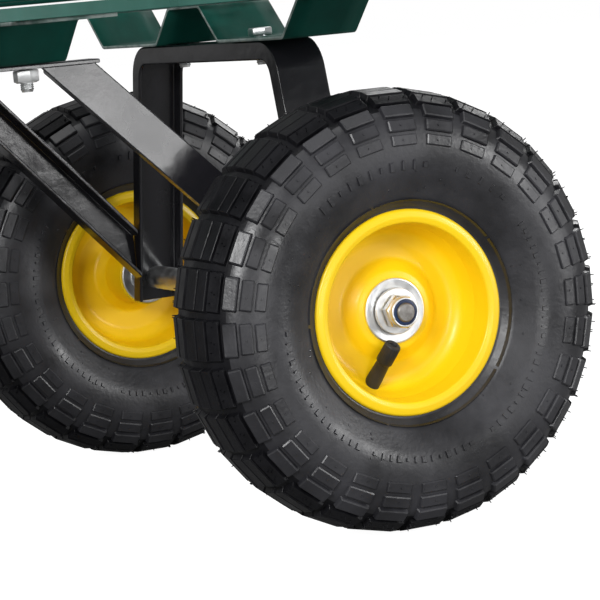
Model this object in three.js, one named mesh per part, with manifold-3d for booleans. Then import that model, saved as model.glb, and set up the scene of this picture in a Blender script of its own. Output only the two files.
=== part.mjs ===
// A four-wheeled garden cart: a wire-mesh load bed on waved cross members, a fixed rear axle,
// a front axle that turns on a kingpin, and a pull handle. Millimetres, +Z up, +X forwards,
// ground at Z = 0, origin under the middle of the whole cart.
import * as THREE from "three";
import { mergeVertices } from "three/addons/utils/BufferGeometryUtils.js";
import Module from "manifold-3d";

const wasm = await Module();
wasm.setup();

// ---- driving dimensions -------------------------------------------------------------------
const gap = 0.3; // between pieces that rest on each other
const runningFit = 0.06; // radial play of a shaft that turns in a hole

const bedLength = 900;
const bedWidth = 480;
const frameRailWidth = 25;
const frameRailHeight = 7.1;
const panelHeight = 200;
const panelThickness = 5;
const panelBorder = 10;
const meshBar = 4;
const floorMeshThickness = 4;
const hingeRodRadius = 4;
const hingeLugLength = 14;
const hingeLugWall = 3;
const hingeLugInset = 110;
const lugSink = 1; // how far a lug is let into the rail it is welded to
const endClearance = 2; // between an end panel and the side panels' hinge line

const wheelBase = 560;
const trackWidth = 408.8;
const tyreRadius = 130;
const tyreHalfWidth = 42.5;
const treadHalfWidth = 30;
const tyreWall = 7;
const rimLipRadius = 60;
const rimHalfWidth = 28;
const rimLipThickness = 2.5;
const rimSeatDepth = 8.5; // below the top of the lip

const flangeInset = 8; // cross member end, in from the bed's side
const sheet = 2; // pressed sheet of the cross members
const memberWidth = 49;
const memberDepth = 25; // trough underside to ridge top
const ridgeHalf = 24;
const troughInner = 50;
const troughOuter = 146;
const outerRidge = 172;
const troughHeight = 292; // underside of the troughs above the ground
const braceReach = 187; // rear axle to the member that carries the braces

const bracketWidth = 33;
const bracketFlange = 12;
const bracketWall = 2.5;
const bracketCorner = 24;
const bracketFootHalf = 151; // half width outside, at axle height
const bracketSplay = 0.2375; // sideways slope of each leg
const footDrop = 16;

const axleRadius = 8;
const axleCollarRadius = 12;
const studRadius = 6;
const bearingRadius = 17.2;
const bearingWidth = 11;
const bearingFlangeRadius = 19.3;
const bearingFlange = 1.5;
const hubTubeRadius = 20.4;
const hubOuterFace = 8; // hub tube end, outboard of the wheel's middle plane
const hubInnerFace = -38;
const washerRadius = 13.7;
const washerThickness = 2;
const nutRadius = 10.6;
const nutThickness = 10;
const valveRadius = 3.9;
const valveCapRadius = 5;

const braceSlope = 1.028; // rise over run
const braceHalfHeight = 16.7; // half of the web, measured upright
const braceWall = 2.5;
const braceFlange = 12;
const braceFootY = 147;
const braceTopY = 123;
const braceTabLength = 66;
const braceTabWidth = 27;
const braceBoltX = 184; // in front of the rear axle
const braceBoltY = 136;

const boltRadius = 4;
const boltHeadRadius = 7.5;
const boltHead = 5;
const boltNut = 7;
const boltStickOut = 6;
const bracketBoltY = 62;

const plateThickness = 4;
const plateLength = 110;
const plateHalfWidth = 84;
const turningPlateRadius = 52;
const spacerRadius = 26;
const spacerHeight = 12;
const kingpinRadius = 8;
const kingpinHead = 8;
const kingpinHexRadius = 13;
const kingpinNutThickness = 10;
const kingpinStickOut = 4;
const handleClearance = 95; // bed's front end to the handle's pin, clear at full lock
const tongueWidth = 40;
const tongueHeight = 20;
const tongueWall = 3;
const forkWall = 5;
const forkReach = 30; // fork cheek, behind the handle tube
const forkOverhang = 2;
const tongueClearance = 8; // tongue's end to the handle tube
const handlePinRadius = 5;
const handlePinHeadRadius = 8;
const handlePinHead = 4;
const handlePinPlay = 6; // pin beyond each fork cheek
const handleTubeRadius = 12;
const handleLength = 760;
const gripHalfWidth = 62;
const gripRadius = 15;
const gripTubeRadius = 10;
const gripLoopHeight = 90;
const gripLoopShoulder = 34;
const gripLoopSink = 6;
const gripEndGap = 3;

// ---- levels and stations worked out from them ----------------------------------------------
const axleHeight = tyreRadius;
const ridgeTop = troughHeight + memberDepth;
const frameBottom = ridgeTop + gap;
const frameTop = frameBottom + frameRailHeight;
const hingeHeight = frameTop + hingeRodRadius + hingeLugWall;
const hingeY = bedWidth / 2 - hingeRodRadius - hingeLugWall;
const hingeX = bedLength / 2 - hingeRodRadius - hingeLugWall;
const rearBarTop = troughHeight - gap;
const wheelY = trackWidth / 2;
const tongueLength = bedLength / 2 + handleClearance - wheelBase / 2; // from the kingpin
const handlePinX = wheelBase / 2 + tongueLength;
const shiftX = -(handlePinX + gripRadius - bedLength / 2) / 2;
const rearX = -wheelBase / 2;
const frontX = wheelBase / 2;
const braceMemberX = rearX + braceReach;
const wheelSides = 20; // a corner of each tyre stands on the ground
const roundSides = 12;
const meshColumns = 8;
const meshRows = 2;

// ---- finishes ------------------------------------------------------------------------------
const finish = (color, roughness, metalness) =>
  new THREE.MeshStandardMaterial({ color, roughness, metalness });
const greenPaint = finish(0x0d4a3e, 0.35, 0.2);
const blackPaint = finish(0x17171a, 0.4, 0.3);
const yellowPaint = finish(0xf5cf0a, 0.3, 0.1);
const tyreRubber = finish(0x232326, 0.7, 0);
const tubeRubber = finish(0x1b1b1d, 0.6, 0);
const zinc = finish(0xc9cbcc, 0.3, 0.9);
const gripPlastic = finish(0x1f1f21, 0.6, 0);

// ---- solids --------------------------------------------------------------------------------
function solid(geometry) {
  const bare = geometry.index ? geometry.toNonIndexed() : geometry.clone();
  bare.deleteAttribute("normal");
  bare.deleteAttribute("uv");
  const merged = mergeVertices(bare, 1e-4);
  const corners = merged.index.array;
  const triVerts = [];
  for (let i = 0; i < corners.length; i += 3) {
    const [a, b, c] = [corners[i], corners[i + 1], corners[i + 2]];
    if (a !== b && b !== c && c !== a) triVerts.push(a, b, c);
  }
  return new wasm.Manifold(
    new wasm.Mesh({
      numProp: 3,
      vertProperties: merged.attributes.position.array,
      triVerts: new Uint32Array(triVerts),
    }),
  );
}

function geometryOf(body) {
  const mesh = body.getMesh();
  const geometry = new THREE.BufferGeometry();
  geometry.setAttribute("position", new THREE.BufferAttribute(mesh.vertProperties, 3));
  geometry.setIndex(new THREE.BufferAttribute(mesh.triVerts, 1));
  const flat = geometry.toNonIndexed();
  flat.computeVertexNormals();
  return flat;
}

// Moves, turns or mirrors a solid by a matrix. A mirrored one has its faces turned back.
function moved(body, matrix) {
  const geometry = geometryOf(body).applyMatrix4(matrix);
  if (matrix.determinant() < 0) {
    const corner = geometry.attributes.position;
    for (let i = 0; i < corner.count; i += 3) {
      const [x, y, z] = [corner.getX(i), corner.getY(i), corner.getZ(i)];
      corner.setXYZ(i, corner.getX(i + 1), corner.getY(i + 1), corner.getZ(i + 1));
      corner.setXYZ(i + 1, x, y, z);
    }
  }
  return solid(geometry);
}
const turnAboutZ = (angle) => new THREE.Matrix4().makeRotationZ(angle);

function block(lengthX, widthY, heightZ, x = 0, y = 0, z = 0) {
  return solid(new THREE.BoxGeometry(lengthX, widthY, heightZ).translate(x, y, z));
}

// A round bar along X, Y or Z. A hole is made with its flats outside the wanted radius.
function bar(radius, length, axis, x, y, z, sides = roundSides) {
  const geometry = new THREE.CylinderGeometry(radius, radius, length, sides);
  if (axis === "x") geometry.rotateZ(Math.PI / 2);
  if (axis === "z") geometry.rotateX(Math.PI / 2);
  return solid(geometry.translate(x, y, z));
}

const holeRadius = (radius, sides = roundSides) => radius / Math.cos(Math.PI / sides);

// Turns a closed profile of [radius, along] points about the Y axis.
function turned(profile, sides = wheelSides) {
  const points = profile.map(([r, y]) => new THREE.Vector2(r, y));
  if (points[0].x > 0) points.push(points[0].clone());
  const body = solid(new THREE.LatheGeometry(points, sides));
  return body.volume() < 0 ? solid(new THREE.LatheGeometry(points.reverse(), sides)) : body;
}

// Extrudes an outline drawn in Y and Z along X, centred on x.
function acrossX(shape, width, x = 0) {
  const geometry = new THREE.ExtrudeGeometry(shape, { depth: width, bevelEnabled: false });
  geometry.translate(0, 0, -width / 2);
  geometry.applyMatrix4(
    new THREE.Matrix4().set(0, 0, 1, x, 1, 0, 0, 0, 0, 1, 0, 0, 0, 0, 0, 1),
  );
  return solid(geometry);
}

const outline = (points) => new THREE.Shape(points.map(([u, v]) => new THREE.Vector2(u, v)));
const mirrored = (half) => half.concat(half.map(([r, a]) => [r, -a]).reverse());

const cart = new THREE.Group();
cart.position.x = shiftX;

function add(name, body, material, x = 0, y = 0, z = 0, parent = cart) {
  const mesh = new THREE.Mesh(geometryOf(body), material);
  mesh.name = name;
  mesh.position.set(x, y, z);
  parent.add(mesh);
  return mesh;
}

// ---- load bed ------------------------------------------------------------------------------
// A flat grid, its middle at the origin: a border with mesh bars across it both ways. It is
// made cell by cell, and a cell with two odd numbers is a hole.
function gridPlate(length, width, thickness, border, across, along) {
  const cuts = (size, count) => {
    const step = (size - 2 * border + meshBar) / count;
    const places = [-size / 2];
    for (let i = 0; i < count; i++) {
      const start = border - size / 2 + i * step;
      places.push(start, start + step - meshBar);
    }
    return [...places, size / 2];
  };
  const xs = cuts(length, across);
  const ys = cuts(width, along);
  const inside = (i, j) => i >= 0 && j >= 0 && i < xs.length - 1 && j < ys.length - 1;
  const filled = (i, j) => inside(i, j) && !(i % 2 && j % 2);
  const low = -thickness / 2;
  const high = thickness / 2;
  const corners = [];
  const quad = (a, b, c, d) => corners.push(...a, ...b, ...c, ...a, ...c, ...d);
  for (let i = 0; i < xs.length - 1; i++) {
    for (let j = 0; j < ys.length - 1; j++) {
      if (!filled(i, j)) continue;
      const [x0, x1, y0, y1] = [xs[i], xs[i + 1], ys[j], ys[j + 1]];
      quad([x0, y0, high], [x1, y0, high], [x1, y1, high], [x0, y1, high]);
      quad([x0, y0, low], [x0, y1, low], [x1, y1, low], [x1, y0, low]);
      if (!filled(i - 1, j)) quad([x0, y0, low], [x0, y0, high], [x0, y1, high], [x0, y1, low]);
      if (!filled(i + 1, j)) quad([x1, y0, low], [x1, y1, low], [x1, y1, high], [x1, y0, high]);
      if (!filled(i, j - 1)) quad([x0, y0, low], [x1, y0, low], [x1, y0, high], [x0, y0, high]);
      if (!filled(i, j + 1)) quad([x0, y1, low], [x0, y1, high], [x1, y1, high], [x1, y1, low]);
    }
  }
  const geometry = new THREE.BufferGeometry();
  geometry.setAttribute("position", new THREE.Float32BufferAttribute(corners, 3));
  return solid(geometry);
}

// Hinge lugs stand on the frame rail and hold a panel's bottom rod.
const lugWidth = 2 * (hingeRodRadius + hingeLugWall);
function hingeLugs(span, axis, offset) {
  const lugs = [];
  for (const side of [-1, 1]) {
    const along = side * (span / 2 - hingeLugInset);
    const size = axis === "x" ? [hingeLugLength, lugWidth] : [lugWidth, hingeLugLength];
    const place = axis === "x" ? [along, offset] : [offset, along];
    const height = hingeHeight + hingeRodRadius + hingeLugWall - frameTop + lugSink;
    const lug = block(...size, height, ...place, frameTop - lugSink + height / 2);
    const hole = holeRadius(hingeRodRadius + runningFit);
    lugs.push(lug.subtract(bar(hole, hingeLugLength + 2, axis, ...place, hingeHeight)));
  }
  return lugs;
}

function bedFrame() {
  const middle = frameBottom + frameRailHeight / 2;
  let body = block(bedLength, bedWidth, frameRailHeight, 0, 0, middle);
  const innerLength = bedLength - 2 * frameRailWidth;
  const innerWidth = bedWidth - 2 * frameRailWidth;
  body = body.subtract(block(innerLength, innerWidth, 4 * frameRailHeight, 0, 0, middle));
  const lugs = [
    ...hingeLugs(bedLength, "x", hingeY),
    ...hingeLugs(bedLength, "x", -hingeY),
    ...hingeLugs(bedWidth, "y", -hingeX),
    ...hingeLugs(bedWidth, "y", hingeX),
  ];
  for (const lug of lugs) body = body.add(lug);
  return body;
}
add("bed_frame", bedFrame(), greenPaint);

const floorLength = bedLength - 2 * frameRailWidth - 2 * gap;
const floorWidth = bedWidth - 2 * frameRailWidth - 2 * gap;
const floorPlate = gridPlate(floorLength, floorWidth, floorMeshThickness, panelBorder,
  meshColumns, 2 * meshRows);
add("floor_mesh", floorPlate, greenPaint, 0, 0, frameBottom + floorMeshThickness / 2);

// A panel stands on its hinge rod: a mesh plate above, two straps down to the rod.
const strapWidth = 20;
const strapThickness = panelThickness - 1;
const panelLift = (hingeRodRadius + hingeLugWall) * Math.SQRT2 + 0.5;
function panel(length, span, across) {
  const upright = gridPlate(length, panelHeight, panelThickness, panelBorder,
    across, meshRows);
  const stand = new THREE.Matrix4().makeRotationX(Math.PI / 2);
  let body = moved(upright, stand.setPosition(0, 0, panelLift + panelHeight / 2));
  const lugAt = span / 2 - hingeLugInset;
  body = body.add(bar(hingeRodRadius, 2 * (lugAt + hingeLugLength), "x", 0, 0, 0));
  const strapHeight = panelLift + panelBorder / 2;
  for (const side of [-1, 1]) {
    const x = side * (lugAt - hingeLugLength - strapWidth);
    body = body.add(block(strapWidth, strapThickness, strapHeight, x, 0, strapHeight / 2));
  }
  return body;
}
const cornerClear = 2 * (hingeRodRadius + hingeLugWall) + endClearance;
const endPanelWidth = bedWidth - 2 * cornerClear;
const sidePanel = panel(bedLength, bedLength, meshColumns);
const endPanel = moved(panel(endPanelWidth, bedWidth, meshColumns / 2), turnAboutZ(Math.PI / 2));
add("side_panel_left", sidePanel, greenPaint, 0, hingeY, hingeHeight);
add("side_panel_right", sidePanel, greenPaint, 0, -hingeY, hingeHeight);
add("tailgate", endPanel, greenPaint, -hingeX, 0, hingeHeight);
add("front_panel", endPanel, greenPaint, hingeX, 0, hingeHeight);

// ---- cross members -------------------------------------------------------------------------
const flangeEnd = bedWidth / 2 - flangeInset;
function memberLine(raise) {
  const low = troughHeight + raise;
  const high = ridgeTop - sheet + raise;
  return [
    [ridgeHalf, high],
    [troughInner, low],
    [troughOuter, low],
    [outerRidge, high],
    [flangeEnd, high],
  ];
}

const boltSides = 8;
const boltHole = holeRadius(boltRadius + gap, boltSides);
function crossMember(boltYs, boltX = 0) {
  const lower = memberLine(0);
  const upper = memberLine(sheet);
  const flip = (points) => points.map(([y, z]) => [-y, z]);
  const shape = outline([
    ...flip(lower).reverse(),
    ...lower,
    ...upper.slice().reverse(),
    ...flip(upper),
  ]);
  let body = acrossX(shape, memberWidth);
  for (const y of boltYs)
    body = body.subtract(bar(boltHole, 10, "z", boltX, y, troughHeight, boltSides));
  return body;
}
const bracketBolts = [-bracketBoltY, bracketBoltY];
const braceBolts = [-braceBoltY, braceBoltY];
add("cross_member_rear", crossMember(bracketBolts), greenPaint, rearX);
add("cross_member_middle", crossMember(braceBolts, braceBoltX - braceReach), greenPaint, braceMemberX);
add("cross_member_front", crossMember([]), greenPaint, frontX);

// ---- axle brackets -------------------------------------------------------------------------
// The arch outline, inset from its outside. Its foot is at footLevel.
function arch(inset, barTop, footLevel) {
  const slope = Math.hypot(1, bracketSplay);
  const halfAt = (z) => bracketFootHalf - (z - axleHeight) * bracketSplay - inset * slope;
  const top = barTop - inset;
  const corner = Math.max(bracketCorner - inset, 4);
  const points = [];
  const steps = 3;
  const lean = Math.atan(bracketSplay);
  const centreY = halfAt(top - corner) - corner / Math.cos(lean);
  for (let i = 0; i <= steps; i++) {
    const angle = lean + ((Math.PI / 2 - lean) * i) / steps;
    points.push([centreY + corner * Math.cos(angle), top - corner + corner * Math.sin(angle)]);
  }
  const right = [[halfAt(footLevel), footLevel], ...points];
  return outline([...right, ...right.map(([y, z]) => [-y, z]).reverse()]);
}

function bracket(barTop, boltYs) {
  const foot = axleHeight - footDrop;
  let body = acrossX(arch(0, barTop, foot), bracketWidth);
  body = body.subtract(acrossX(arch(bracketFlange, barTop, foot - 20), bracketWidth + 10));
  const inner = bracketWidth - 2 * bracketWall;
  body = body.subtract(acrossX(arch(bracketWall, barTop, foot - 20), inner));
  const axleHole = bar(holeRadius(axleRadius + gap), 400, "y", 0, 0, axleHeight);
  body = body.subtract(axleHole);
  for (const y of boltYs)
    body = body.subtract(bar(boltHole, bracketFlange, "z", 0, y, barTop, boltSides));
  return body;
}
add("rear_bracket", bracket(rearBarTop, bracketBolts), blackPaint, rearX);

// ---- axles ---------------------------------------------------------------------------------
const studShoulder = wheelY + hubOuterFace + gap + bearingFlange + gap;
const studEnd = studShoulder + washerThickness + nutThickness + 2 * gap + 1.5;
const collarEnd = wheelY + hubInnerFace - gap - bearingFlange;
function axle() {
  const half = [
    [axleRadius, 0],
    [axleRadius, collarEnd - 6],
    [axleCollarRadius, collarEnd - 6],
    [axleCollarRadius, collarEnd - gap],
    [axleRadius, collarEnd - gap],
    [axleRadius, studShoulder],
    [studRadius, studShoulder],
    [studRadius, studEnd],
    [0, studEnd],
  ];
  const lower = half.slice(1).map(([r, y]) => [r, -y]);
  return turned([...lower.reverse(), ...half.slice(1)], roundSides);
}
add("rear_axle", axle(), zinc, rearX, 0, axleHeight);

// ---- diagonal braces -----------------------------------------------------------------------
// A pressed channel from the bracket's foot up to the middle cross member. Its top is turned
// outwards into a flat tab, and its whole length toes in towards the middle of the cart.
const braceTop = troughHeight - gap;
const braceFootX = bracketWidth / 2 + gap;
const braceRise = braceTop - axleHeight;
const braceRun = braceRise / braceSlope;
const tabRear = (braceRise - braceHalfHeight) / braceSlope;

// A plate drawn in X and Z and given its thickness along Y, from y outwards.
function uprightPlate(points, thickness, y) {
  const shape = outline(points);
  const geometry = new THREE.ExtrudeGeometry(shape, { depth: thickness, bevelEnabled: false });
  return solid(geometry.rotateX(Math.PI / 2).translate(0, thickness + y, 0));
}

function brace(side) {
  const edge = (x, offset) => [x, axleHeight + x * braceSlope + offset];
  const low = (x) => edge(x, -braceHalfHeight);
  const high = (x) => edge(x, braceHalfHeight);
  const under = braceTop - braceWall;
  const lowEnd = (braceRise - braceWall + braceHalfHeight) / braceSlope;
  const web = [low(braceFootX), [lowEnd, under], [lowEnd, braceTop]];
  web.push([tabRear, braceTop], high(braceFootX));
  let body = uprightPlate(web, braceWall, -braceWall);
  const drop = braceWall * Math.hypot(1, braceSlope);
  const lift = (point, by) => [point[0], point[1] + by];
  const endX = lowEnd - drop;
  const lowFlange = [low(braceFootX), low(endX), lift(low(endX), drop), lift(low(braceFootX), drop)];
  const highFlange = [
    lift(high(braceFootX), -drop),
    lift(high(tabRear), -drop),
    high(tabRear),
    high(braceFootX),
  ];
  body = body.add(uprightPlate(lowFlange, braceFlange, -braceFlange));
  body = body.add(uprightPlate(highFlange, braceFlange, -braceFlange));
  const tabX = tabRear + braceTabLength / 2;
  const tabY = braceTabWidth / 2 - braceWall;
  const tabZ = braceTop - braceWall / 2;
  body = body.add(block(braceTabLength, braceTabWidth, braceWall, tabX, tabY, tabZ));
  const toe = Math.atan2(braceFootY - braceTopY, braceRun);
  const place = turnAboutZ(-toe).setPosition(0, braceFootY, 0);
  body = moved(body, place);
  body = body.subtract(block(40, 400, 400, braceFootX - 20, 0, braceTop));
  body = body.subtract(bar(boltHole, 20, "z", braceBoltX, braceBoltY, braceTop, boltSides));
  return side > 0 ? body : moved(body, new THREE.Matrix4().makeScale(1, -1, 1));
}
add("rear_brace_left", brace(1), blackPaint, rearX);
add("rear_brace_right", brace(-1), blackPaint, rearX);

// ---- bolts and nuts ------------------------------------------------------------------------
// A hexagon bolt hanging through a trough from above, and its nut below the clamped stack.
function bolt(stack) {
  const top = gap + boltHead / 2;
  const end = -(stack + boltNut + boltStickOut);
  const shank = bar(boltRadius, top - end, "z", 0, 0, (top + end) / 2, boltSides);
  return shank.add(bar(boltHeadRadius, boltHead, "z", 0, 0, boltHead / 2 + gap, 6));
}

function nut(radius, thickness, hole) {
  return bar(radius, thickness, "z", 0, 0, -thickness / 2, 6).subtract(
    bar(holeRadius(hole), thickness + 2, "z", 0, 0, -thickness / 2),
  );
}

function boltPair(name, x, y, stack) {
  const seat = troughHeight + sheet;
  add(`${name}_bolt`, bolt(stack), zinc, x, y, seat);
  add(`${name}_nut`, nut(boltHeadRadius, boltNut, boltRadius + gap), zinc, x, y, seat - stack);
}
const bracketStack = sheet + gap + bracketWall + gap;
const braceStack = sheet + gap + braceWall + gap;
for (const [label, side] of [
  ["left", 1],
  ["right", -1],
]) {
  boltPair(`rear_bracket_${label}`, rearX, side * bracketBoltY, bracketStack);
  boltPair(`rear_brace_${label}`, rearX + braceBoltX, side * braceBoltY, braceStack);
}

// ---- front axle, steering and handle ---------------------------------------------------------
const fixedPlateZ = rearBarTop - plateThickness / 2;
const turningPlateZ = fixedPlateZ - plateThickness - gap;

function fixedPlate() {
  const body = block(plateLength, 2 * plateHalfWidth, plateThickness);
  return body.subtract(bar(holeRadius(kingpinRadius + gap), 20, "z", 0, 0, 0));
}
add("turntable_fixed_plate", fixedPlate(), blackPaint, frontX, 0, fixedPlateZ);

// The turning plate is a round disc on a short spacer, welded to the front bracket's bar.
function turningPlate() {
  const disc = bar(turningPlateRadius, plateThickness, "z", 0, 0, 0, wheelSides);
  const spacer = bar(spacerRadius, spacerHeight, "z", 0, 0, -(plateThickness + spacerHeight) / 2);
  const hole = bar(holeRadius(kingpinRadius + runningFit), 80, "z", 0, 0, 0);
  return disc.add(spacer).subtract(hole);
}

const steer = new THREE.Group();
steer.position.x = frontX;
cart.add(steer);
const frontTop = turningPlateZ - plateThickness / 2 - spacerHeight - gap;
add("turntable_turning_plate", turningPlate(), blackPaint, 0, 0, turningPlateZ, steer);

function frontBracket() {
  const body = bracket(frontTop, []);
  const hole = bar(holeRadius(kingpinRadius + runningFit), 12, "z", 0, 0, frontTop);
  return body.subtract(hole);
}
add("front_bracket", frontBracket(), blackPaint, 0, 0, 0, steer);
add("front_axle", axle(), zinc, 0, 0, axleHeight, steer);

const kingpinTop = rearBarTop + gap;
const kingpinLow = frontTop - bracketWall - gap;
const kingpinEnd = kingpinLow - kingpinNutThickness - kingpinStickOut;
function kingpin() {
  const length = kingpinTop - kingpinEnd;
  const shank = bar(kingpinRadius, length, "z", 0, 0, kingpinTop - length / 2);
  return shank.add(bar(kingpinHexRadius, kingpinHead, "z", 0, 0, kingpinTop + kingpinHead / 2, 6));
}
add("kingpin", kingpin(), zinc, frontX);
const kingpinNut = nut(kingpinHexRadius, kingpinNutThickness, kingpinRadius + gap);
add("kingpin_nut", kingpinNut, zinc, frontX, 0, kingpinLow - gap);

const tongueBack = bracketWidth / 2 + gap;
const tongueZ = frontTop - tongueHeight / 2;
function tongue() {
  const start = tongueBack;
  const end = tongueLength - handleTubeRadius - tongueClearance;
  const middle = (start + end) / 2;
  let body = block(end - start, tongueWidth, tongueHeight, middle, 0, tongueZ);
  const hollow = block(end - start + 10, tongueWidth - 2 * tongueWall, tongueHeight,
    middle - 10, 0, tongueZ - tongueWall);
  body = body.subtract(hollow);
  const forkLength = handleTubeRadius + forkReach;
  const forkX = tongueLength + handleTubeRadius - forkLength / 2 + forkOverhang;
  for (const side of [-1, 1]) {
    const y = side * (tongueWidth / 2 - forkWall / 2);
    body = body.add(block(forkLength, forkWall, tongueHeight, forkX, y, tongueZ));
  }
  const pinHole = bar(holeRadius(handlePinRadius + gap), 80, "y", tongueLength, 0, tongueZ);
  return body.subtract(pinHole);
}
add("tongue", tongue(), blackPaint, 0, 0, 0, steer);

function handlePin() {
  const length = tongueWidth + 2 * handlePinPlay;
  const headY = (length + handlePinHead) / 2;
  let body = bar(handlePinRadius, length, "y", 0, 0, 0);
  for (const y of [-headY, headY])
    body = body.add(bar(handlePinHeadRadius, handlePinHead, "y", 0, y, 0));
  return body;
}
add("handle_pin", handlePin(), zinc, tongueLength, 0, tongueZ, steer);

const loopTop = handleLength + gripLoopHeight;
function bentTube(from, to) {
  const direction = new THREE.Vector3().subVectors(to, from);
  const geometry = new THREE.CylinderGeometry(
    gripTubeRadius, gripTubeRadius, direction.length(), roundSides);
  const upright = new THREE.Vector3(0, 1, 0);
  const turn = new THREE.Quaternion().setFromUnitVectors(upright, direction.normalize());
  const centre = new THREE.Vector3().addVectors(from, to).multiplyScalar(0.5);
  return solid(geometry.applyQuaternion(turn).translate(...centre.toArray()));
}

function handleShaft() {
  let body = bar(handleTubeRadius, handleLength, "z", 0, 0, handleLength / 2);
  body = body.add(bar(handleTubeRadius + 2, 2 * handleTubeRadius, "y", 0, 0, 0));
  const hole = bar(holeRadius(handlePinRadius + runningFit), 60, "y", 0, 0, 0);
  body = body.subtract(hole);
  // A loop of bent tube on top, with its cross bar bare for the grip.
  const loopLow = handleLength - gripLoopSink;
  const shoulder = loopLow + gripLoopShoulder;
  const corners = [
    [0, loopLow],
    [-gripHalfWidth, shoulder],
    [-gripHalfWidth, loopTop],
    [gripHalfWidth, loopTop],
    [gripHalfWidth, shoulder],
    [0, loopLow],
  ].map(([y, z]) => new THREE.Vector3(0, y, z));
  for (let i = 0; i + 1 < corners.length; i++) {
    body = body.add(bentTube(corners[i], corners[i + 1]));
    const { x, y, z } = corners[i];
    body = body.add(solid(new THREE.SphereGeometry(gripTubeRadius, 8, 6).translate(x, y, z)));
  }
  return body;
}
add("handle_shaft", handleShaft(), blackPaint, tongueLength, 0, tongueZ, steer);

function handleGrip() {
  const length = 2 * (gripHalfWidth - gripTubeRadius - gripEndGap);
  const sleeve = bar(gripRadius, length, "y", 0, 0, loopTop);
  const bore = holeRadius(gripTubeRadius + gap);
  return sleeve.subtract(bar(bore, length + 4, "y", 0, 0, loopTop));
}
add("handle_grip", handleGrip(), gripPlastic, tongueLength, 0, tongueZ, steer);

// ---- wheels --------------------------------------------------------------------------------
const rimSeatRadius = rimLipRadius - rimSeatDepth;
const beadRadius = rimSeatRadius + 2 * gap;
const beadHalfWidth = rimHalfWidth - rimLipThickness - 2;
const wallHeight = tyreRadius - rimLipRadius;
const widestRadius = rimLipRadius + wallHeight * 0.57;
const lowerWallRadius = rimLipRadius + wallHeight * 0.26;
const tyreProfile = [
  ...mirrored([
    [beadRadius, beadHalfWidth - gap],
    [rimLipRadius + 1, beadHalfWidth + 1],
    [lowerWallRadius, tyreHalfWidth - 2.5],
    [widestRadius, tyreHalfWidth],
    [tyreRadius - tyreWall, tyreHalfWidth - 5],
    [tyreRadius, treadHalfWidth],
  ]),
  ...mirrored([
    [beadRadius, -beadHalfWidth + tyreWall],
    [lowerWallRadius, -tyreHalfWidth + tyreWall + 2],
    [widestRadius, -tyreHalfWidth + tyreWall],
    [tyreRadius - tyreWall, -treadHalfWidth + 4],
  ]),
];
const tubeProfile = mirrored([
  [beadRadius + 5, 10],
  [(rimLipRadius + widestRadius) / 2 + 5, tyreHalfWidth - tyreWall - 4],
  [tyreRadius - tyreWall - 3, treadHalfWidth - 12],
]);

const bowlEdgeRadius = rimLipRadius - 7;
const bowlFloorRadius = rimSeatRadius - 4;
const bossRadius = hubTubeRadius + 8;
const rimProfile = [
  [rimLipRadius, rimHalfWidth],
  [rimLipRadius, rimHalfWidth - rimLipThickness],
  [rimSeatRadius, beadHalfWidth],
  [rimSeatRadius, -beadHalfWidth],
  [rimLipRadius, -rimHalfWidth + rimLipThickness],
  [rimLipRadius, -rimHalfWidth],
  [bowlEdgeRadius, -rimHalfWidth],
  [bowlFloorRadius, -6],
  [hubTubeRadius, -3],
  [hubTubeRadius, hubInnerFace],
  [bearingRadius + gap, hubInnerFace],
  [bearingRadius + gap, hubOuterFace],
  [hubTubeRadius, hubOuterFace],
  [bossRadius, 2],
  [bowlFloorRadius, 0],
  [bowlEdgeRadius, rimHalfWidth],
];

// The valve leaves the bowl of the rim near its wall and leans towards the hub.
const valveTurn = (160 * Math.PI) / 180; // from straight up, towards the front
const valveAt = (radius, outboard) =>
  new THREE.Vector3(radius * Math.sin(valveTurn), outboard, radius * Math.cos(valveTurn));
const valveFoot = valveAt(bowlFloorRadius - 3.5, 2);
const valveTip = valveAt(hubTubeRadius - 0.9, hubOuterFace + 9);
const valveTail = 18; // length of the stem behind the bowl
const valveCapLength = 13;
const valveSides = 8;
function alongValve(radius, from, to) {
  const direction = new THREE.Vector3().subVectors(valveTip, valveFoot).normalize();
  const geometry = new THREE.CylinderGeometry(radius, radius, to - from, valveSides);
  geometry.applyQuaternion(
    new THREE.Quaternion().setFromUnitVectors(new THREE.Vector3(0, 1, 0), direction),
  );
  const centre = valveFoot.clone().addScaledVector(direction, (from + to) / 2);
  return solid(geometry.translate(centre.x, centre.y, centre.z));
}
const valveLength = valveTip.distanceTo(valveFoot);

// The tube carries its valve, with the cap screwed on.
function innerTube() {
  const stem = alongValve(valveRadius, -valveTail, valveLength - 1);
  const cap = alongValve(valveCapRadius, valveLength - valveCapLength, valveLength);
  return turned(tubeProfile).add(stem).add(cap);
}

function rim() {
  return turned(rimProfile).subtract(alongValve(valveRadius + 1, -valveTail, valveLength));
}

// Bearings press into the hub tube. The flange sits outside the tube's end.
function bearing(face, outward) {
  const at = (distance) => face + outward * distance;
  const bore = holeRadius(axleRadius + runningFit);
  return turned([
    [bore, at(gap + bearingFlange)],
    [bearingFlangeRadius, at(gap + bearingFlange)],
    [bearingFlangeRadius, at(gap)],
    [bearingRadius, at(gap)],
    [bearingRadius, at(-bearingWidth)],
    [bore, at(-bearingWidth)],
  ], roundSides);
}

function washer() {
  const bore = holeRadius(studRadius + gap);
  return turned([
    [bore, 0],
    [washerRadius, 0],
    [washerRadius, washerThickness],
    [bore, washerThickness],
  ], roundSides);
}

function wheelNut() {
  const body = bar(nutRadius, nutThickness, "y", 0, nutThickness / 2, 0, 6);
  return body.subtract(bar(holeRadius(studRadius + gap), 40, "y", 0, 0, 0));
}

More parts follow.
